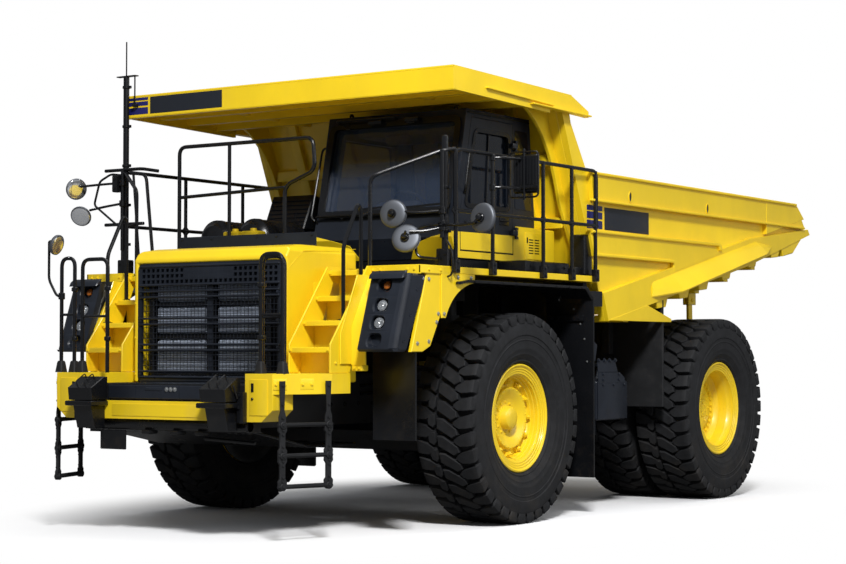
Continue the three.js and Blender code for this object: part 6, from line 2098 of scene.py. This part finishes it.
class LookSettings(bpy.types.PropertyGroup):
    """The truck's colours"""
    yellow: colour_of("Yellow paint", "Body, hood, deck and rims", (0.9, 0.63, 0.011))
    charcoal: colour_of("Charcoal paint", "Cab, grille band and lamp housings", (0.0135, 0.0165, 0.0235))
    black: colour_of("Black paint", "Rails, liners and brackets", (0.0052, 0.0056, 0.0068))
    rubber: colour_of("Rubber", "Tyres, flaps and hoses", (0.0105, 0.011, 0.0125))
    glass: colour_of("Glass tint", "The windscreen and side windows", (0.028, 0.043, 0.078))
    aluminium: colour_of("Aluminium", "The cooler cores behind the grille", (0.48, 0.54, 0.65))
    iron: colour_of("Cast iron", "Axles, struts and the frame", (0.014, 0.0145, 0.016))
    cloth: colour_of("Seat cloth", "The operator's seat", (0.035, 0.037, 0.045))
    plastic: colour_of("Cabin plastic", "The dashboard and wheel", (0.075, 0.082, 0.098))
    stripe: colour_of("Stripes", "The stripes on the canopy and body", (0.012, 0.014, 0.115))


class StageSettings(bpy.types.PropertyGroup):
    """The floor, the lamps and the surround"""
    floor: colour_of("Floor", "The floor's own colour", (0.97, 0.97, 0.98))
    floor_radius: number("Floor radius", "How far the floor reaches", 90.0, unit="LENGTH")
    fade_start: number("Fade start", "Where the floor starts to turn white", 2.4, unit="LENGTH")
    fade_end: number("Fade end", "Where the floor is plain white", 4.2, unit="LENGTH")
    bounce: number("Bounce", "How much of the floor's light reaches the truck", 0.25, subtype="FACTOR")
    sky: number("Sky", "Strength of the pale surround", 0.24)
    key: number("Key", "Power of the front lamp", 4700.0, unit="POWER")
    fill: number("Fill", "Power of the side lamp", 550.0, unit="POWER")
    top: number("Top", "Power of the lamp overhead", 1150.0, unit="POWER")
    back: number("Back", "Power of the rear lamp", 300.0, unit="POWER")


class FinishesOperator(bpy.types.Operator):
    """Makes the truck's materials from the colours in the settings"""
    bl_idname = "truck.finishes"
    bl_label = "Finishes"

    def execute(self, context):
        make_finishes(context.scene.truck_look)
        return {"FINISHED"}


class TruckPanel(bpy.types.Panel):
    """Lists the truck's operators and settings"""
    bl_idname = "VIEW3D_PT_truck"
    bl_label = "Mining dump truck"
    bl_space_type = "VIEW_3D"
    bl_region_type = "UI"
    bl_category = "Truck"

    def draw(self, context):
        for operator in OPERATORS:
            self.layout.operator(operator.bl_idname)
        for settings in (context.scene.truck_look, context.scene.truck_stage):
            for name in settings.__annotations__:
                self.layout.prop(settings, name)


OPERATORS = (
    FinishesOperator, WheelsOperator, PanelsOperator, FrontOperator, BodyOperator, CabOperator,
    RailsOperator, ChassisOperator, StageOperator)
CLASSES = (LookSettings, StageSettings, *OPERATORS, TruckPanel)


def register():
    for item in CLASSES:
        bpy.utils.register_class(item)
    bpy.types.Scene.truck_look = bpy.props.PointerProperty(type=LookSettings)
    bpy.types.Scene.truck_stage = bpy.props.PointerProperty(type=StageSettings)


def unregister():
    del bpy.types.Scene.truck_stage
    del bpy.types.Scene.truck_look
    for item in reversed(CLASSES):
        bpy.utils.unregister_class(item)


def main():
    """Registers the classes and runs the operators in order."""
    register()
    for operator in OPERATORS:
        group, name = operator.bl_idname.split(".")
        getattr(getattr(bpy.ops, group), name)()


if __name__ == "__main__":
    main()
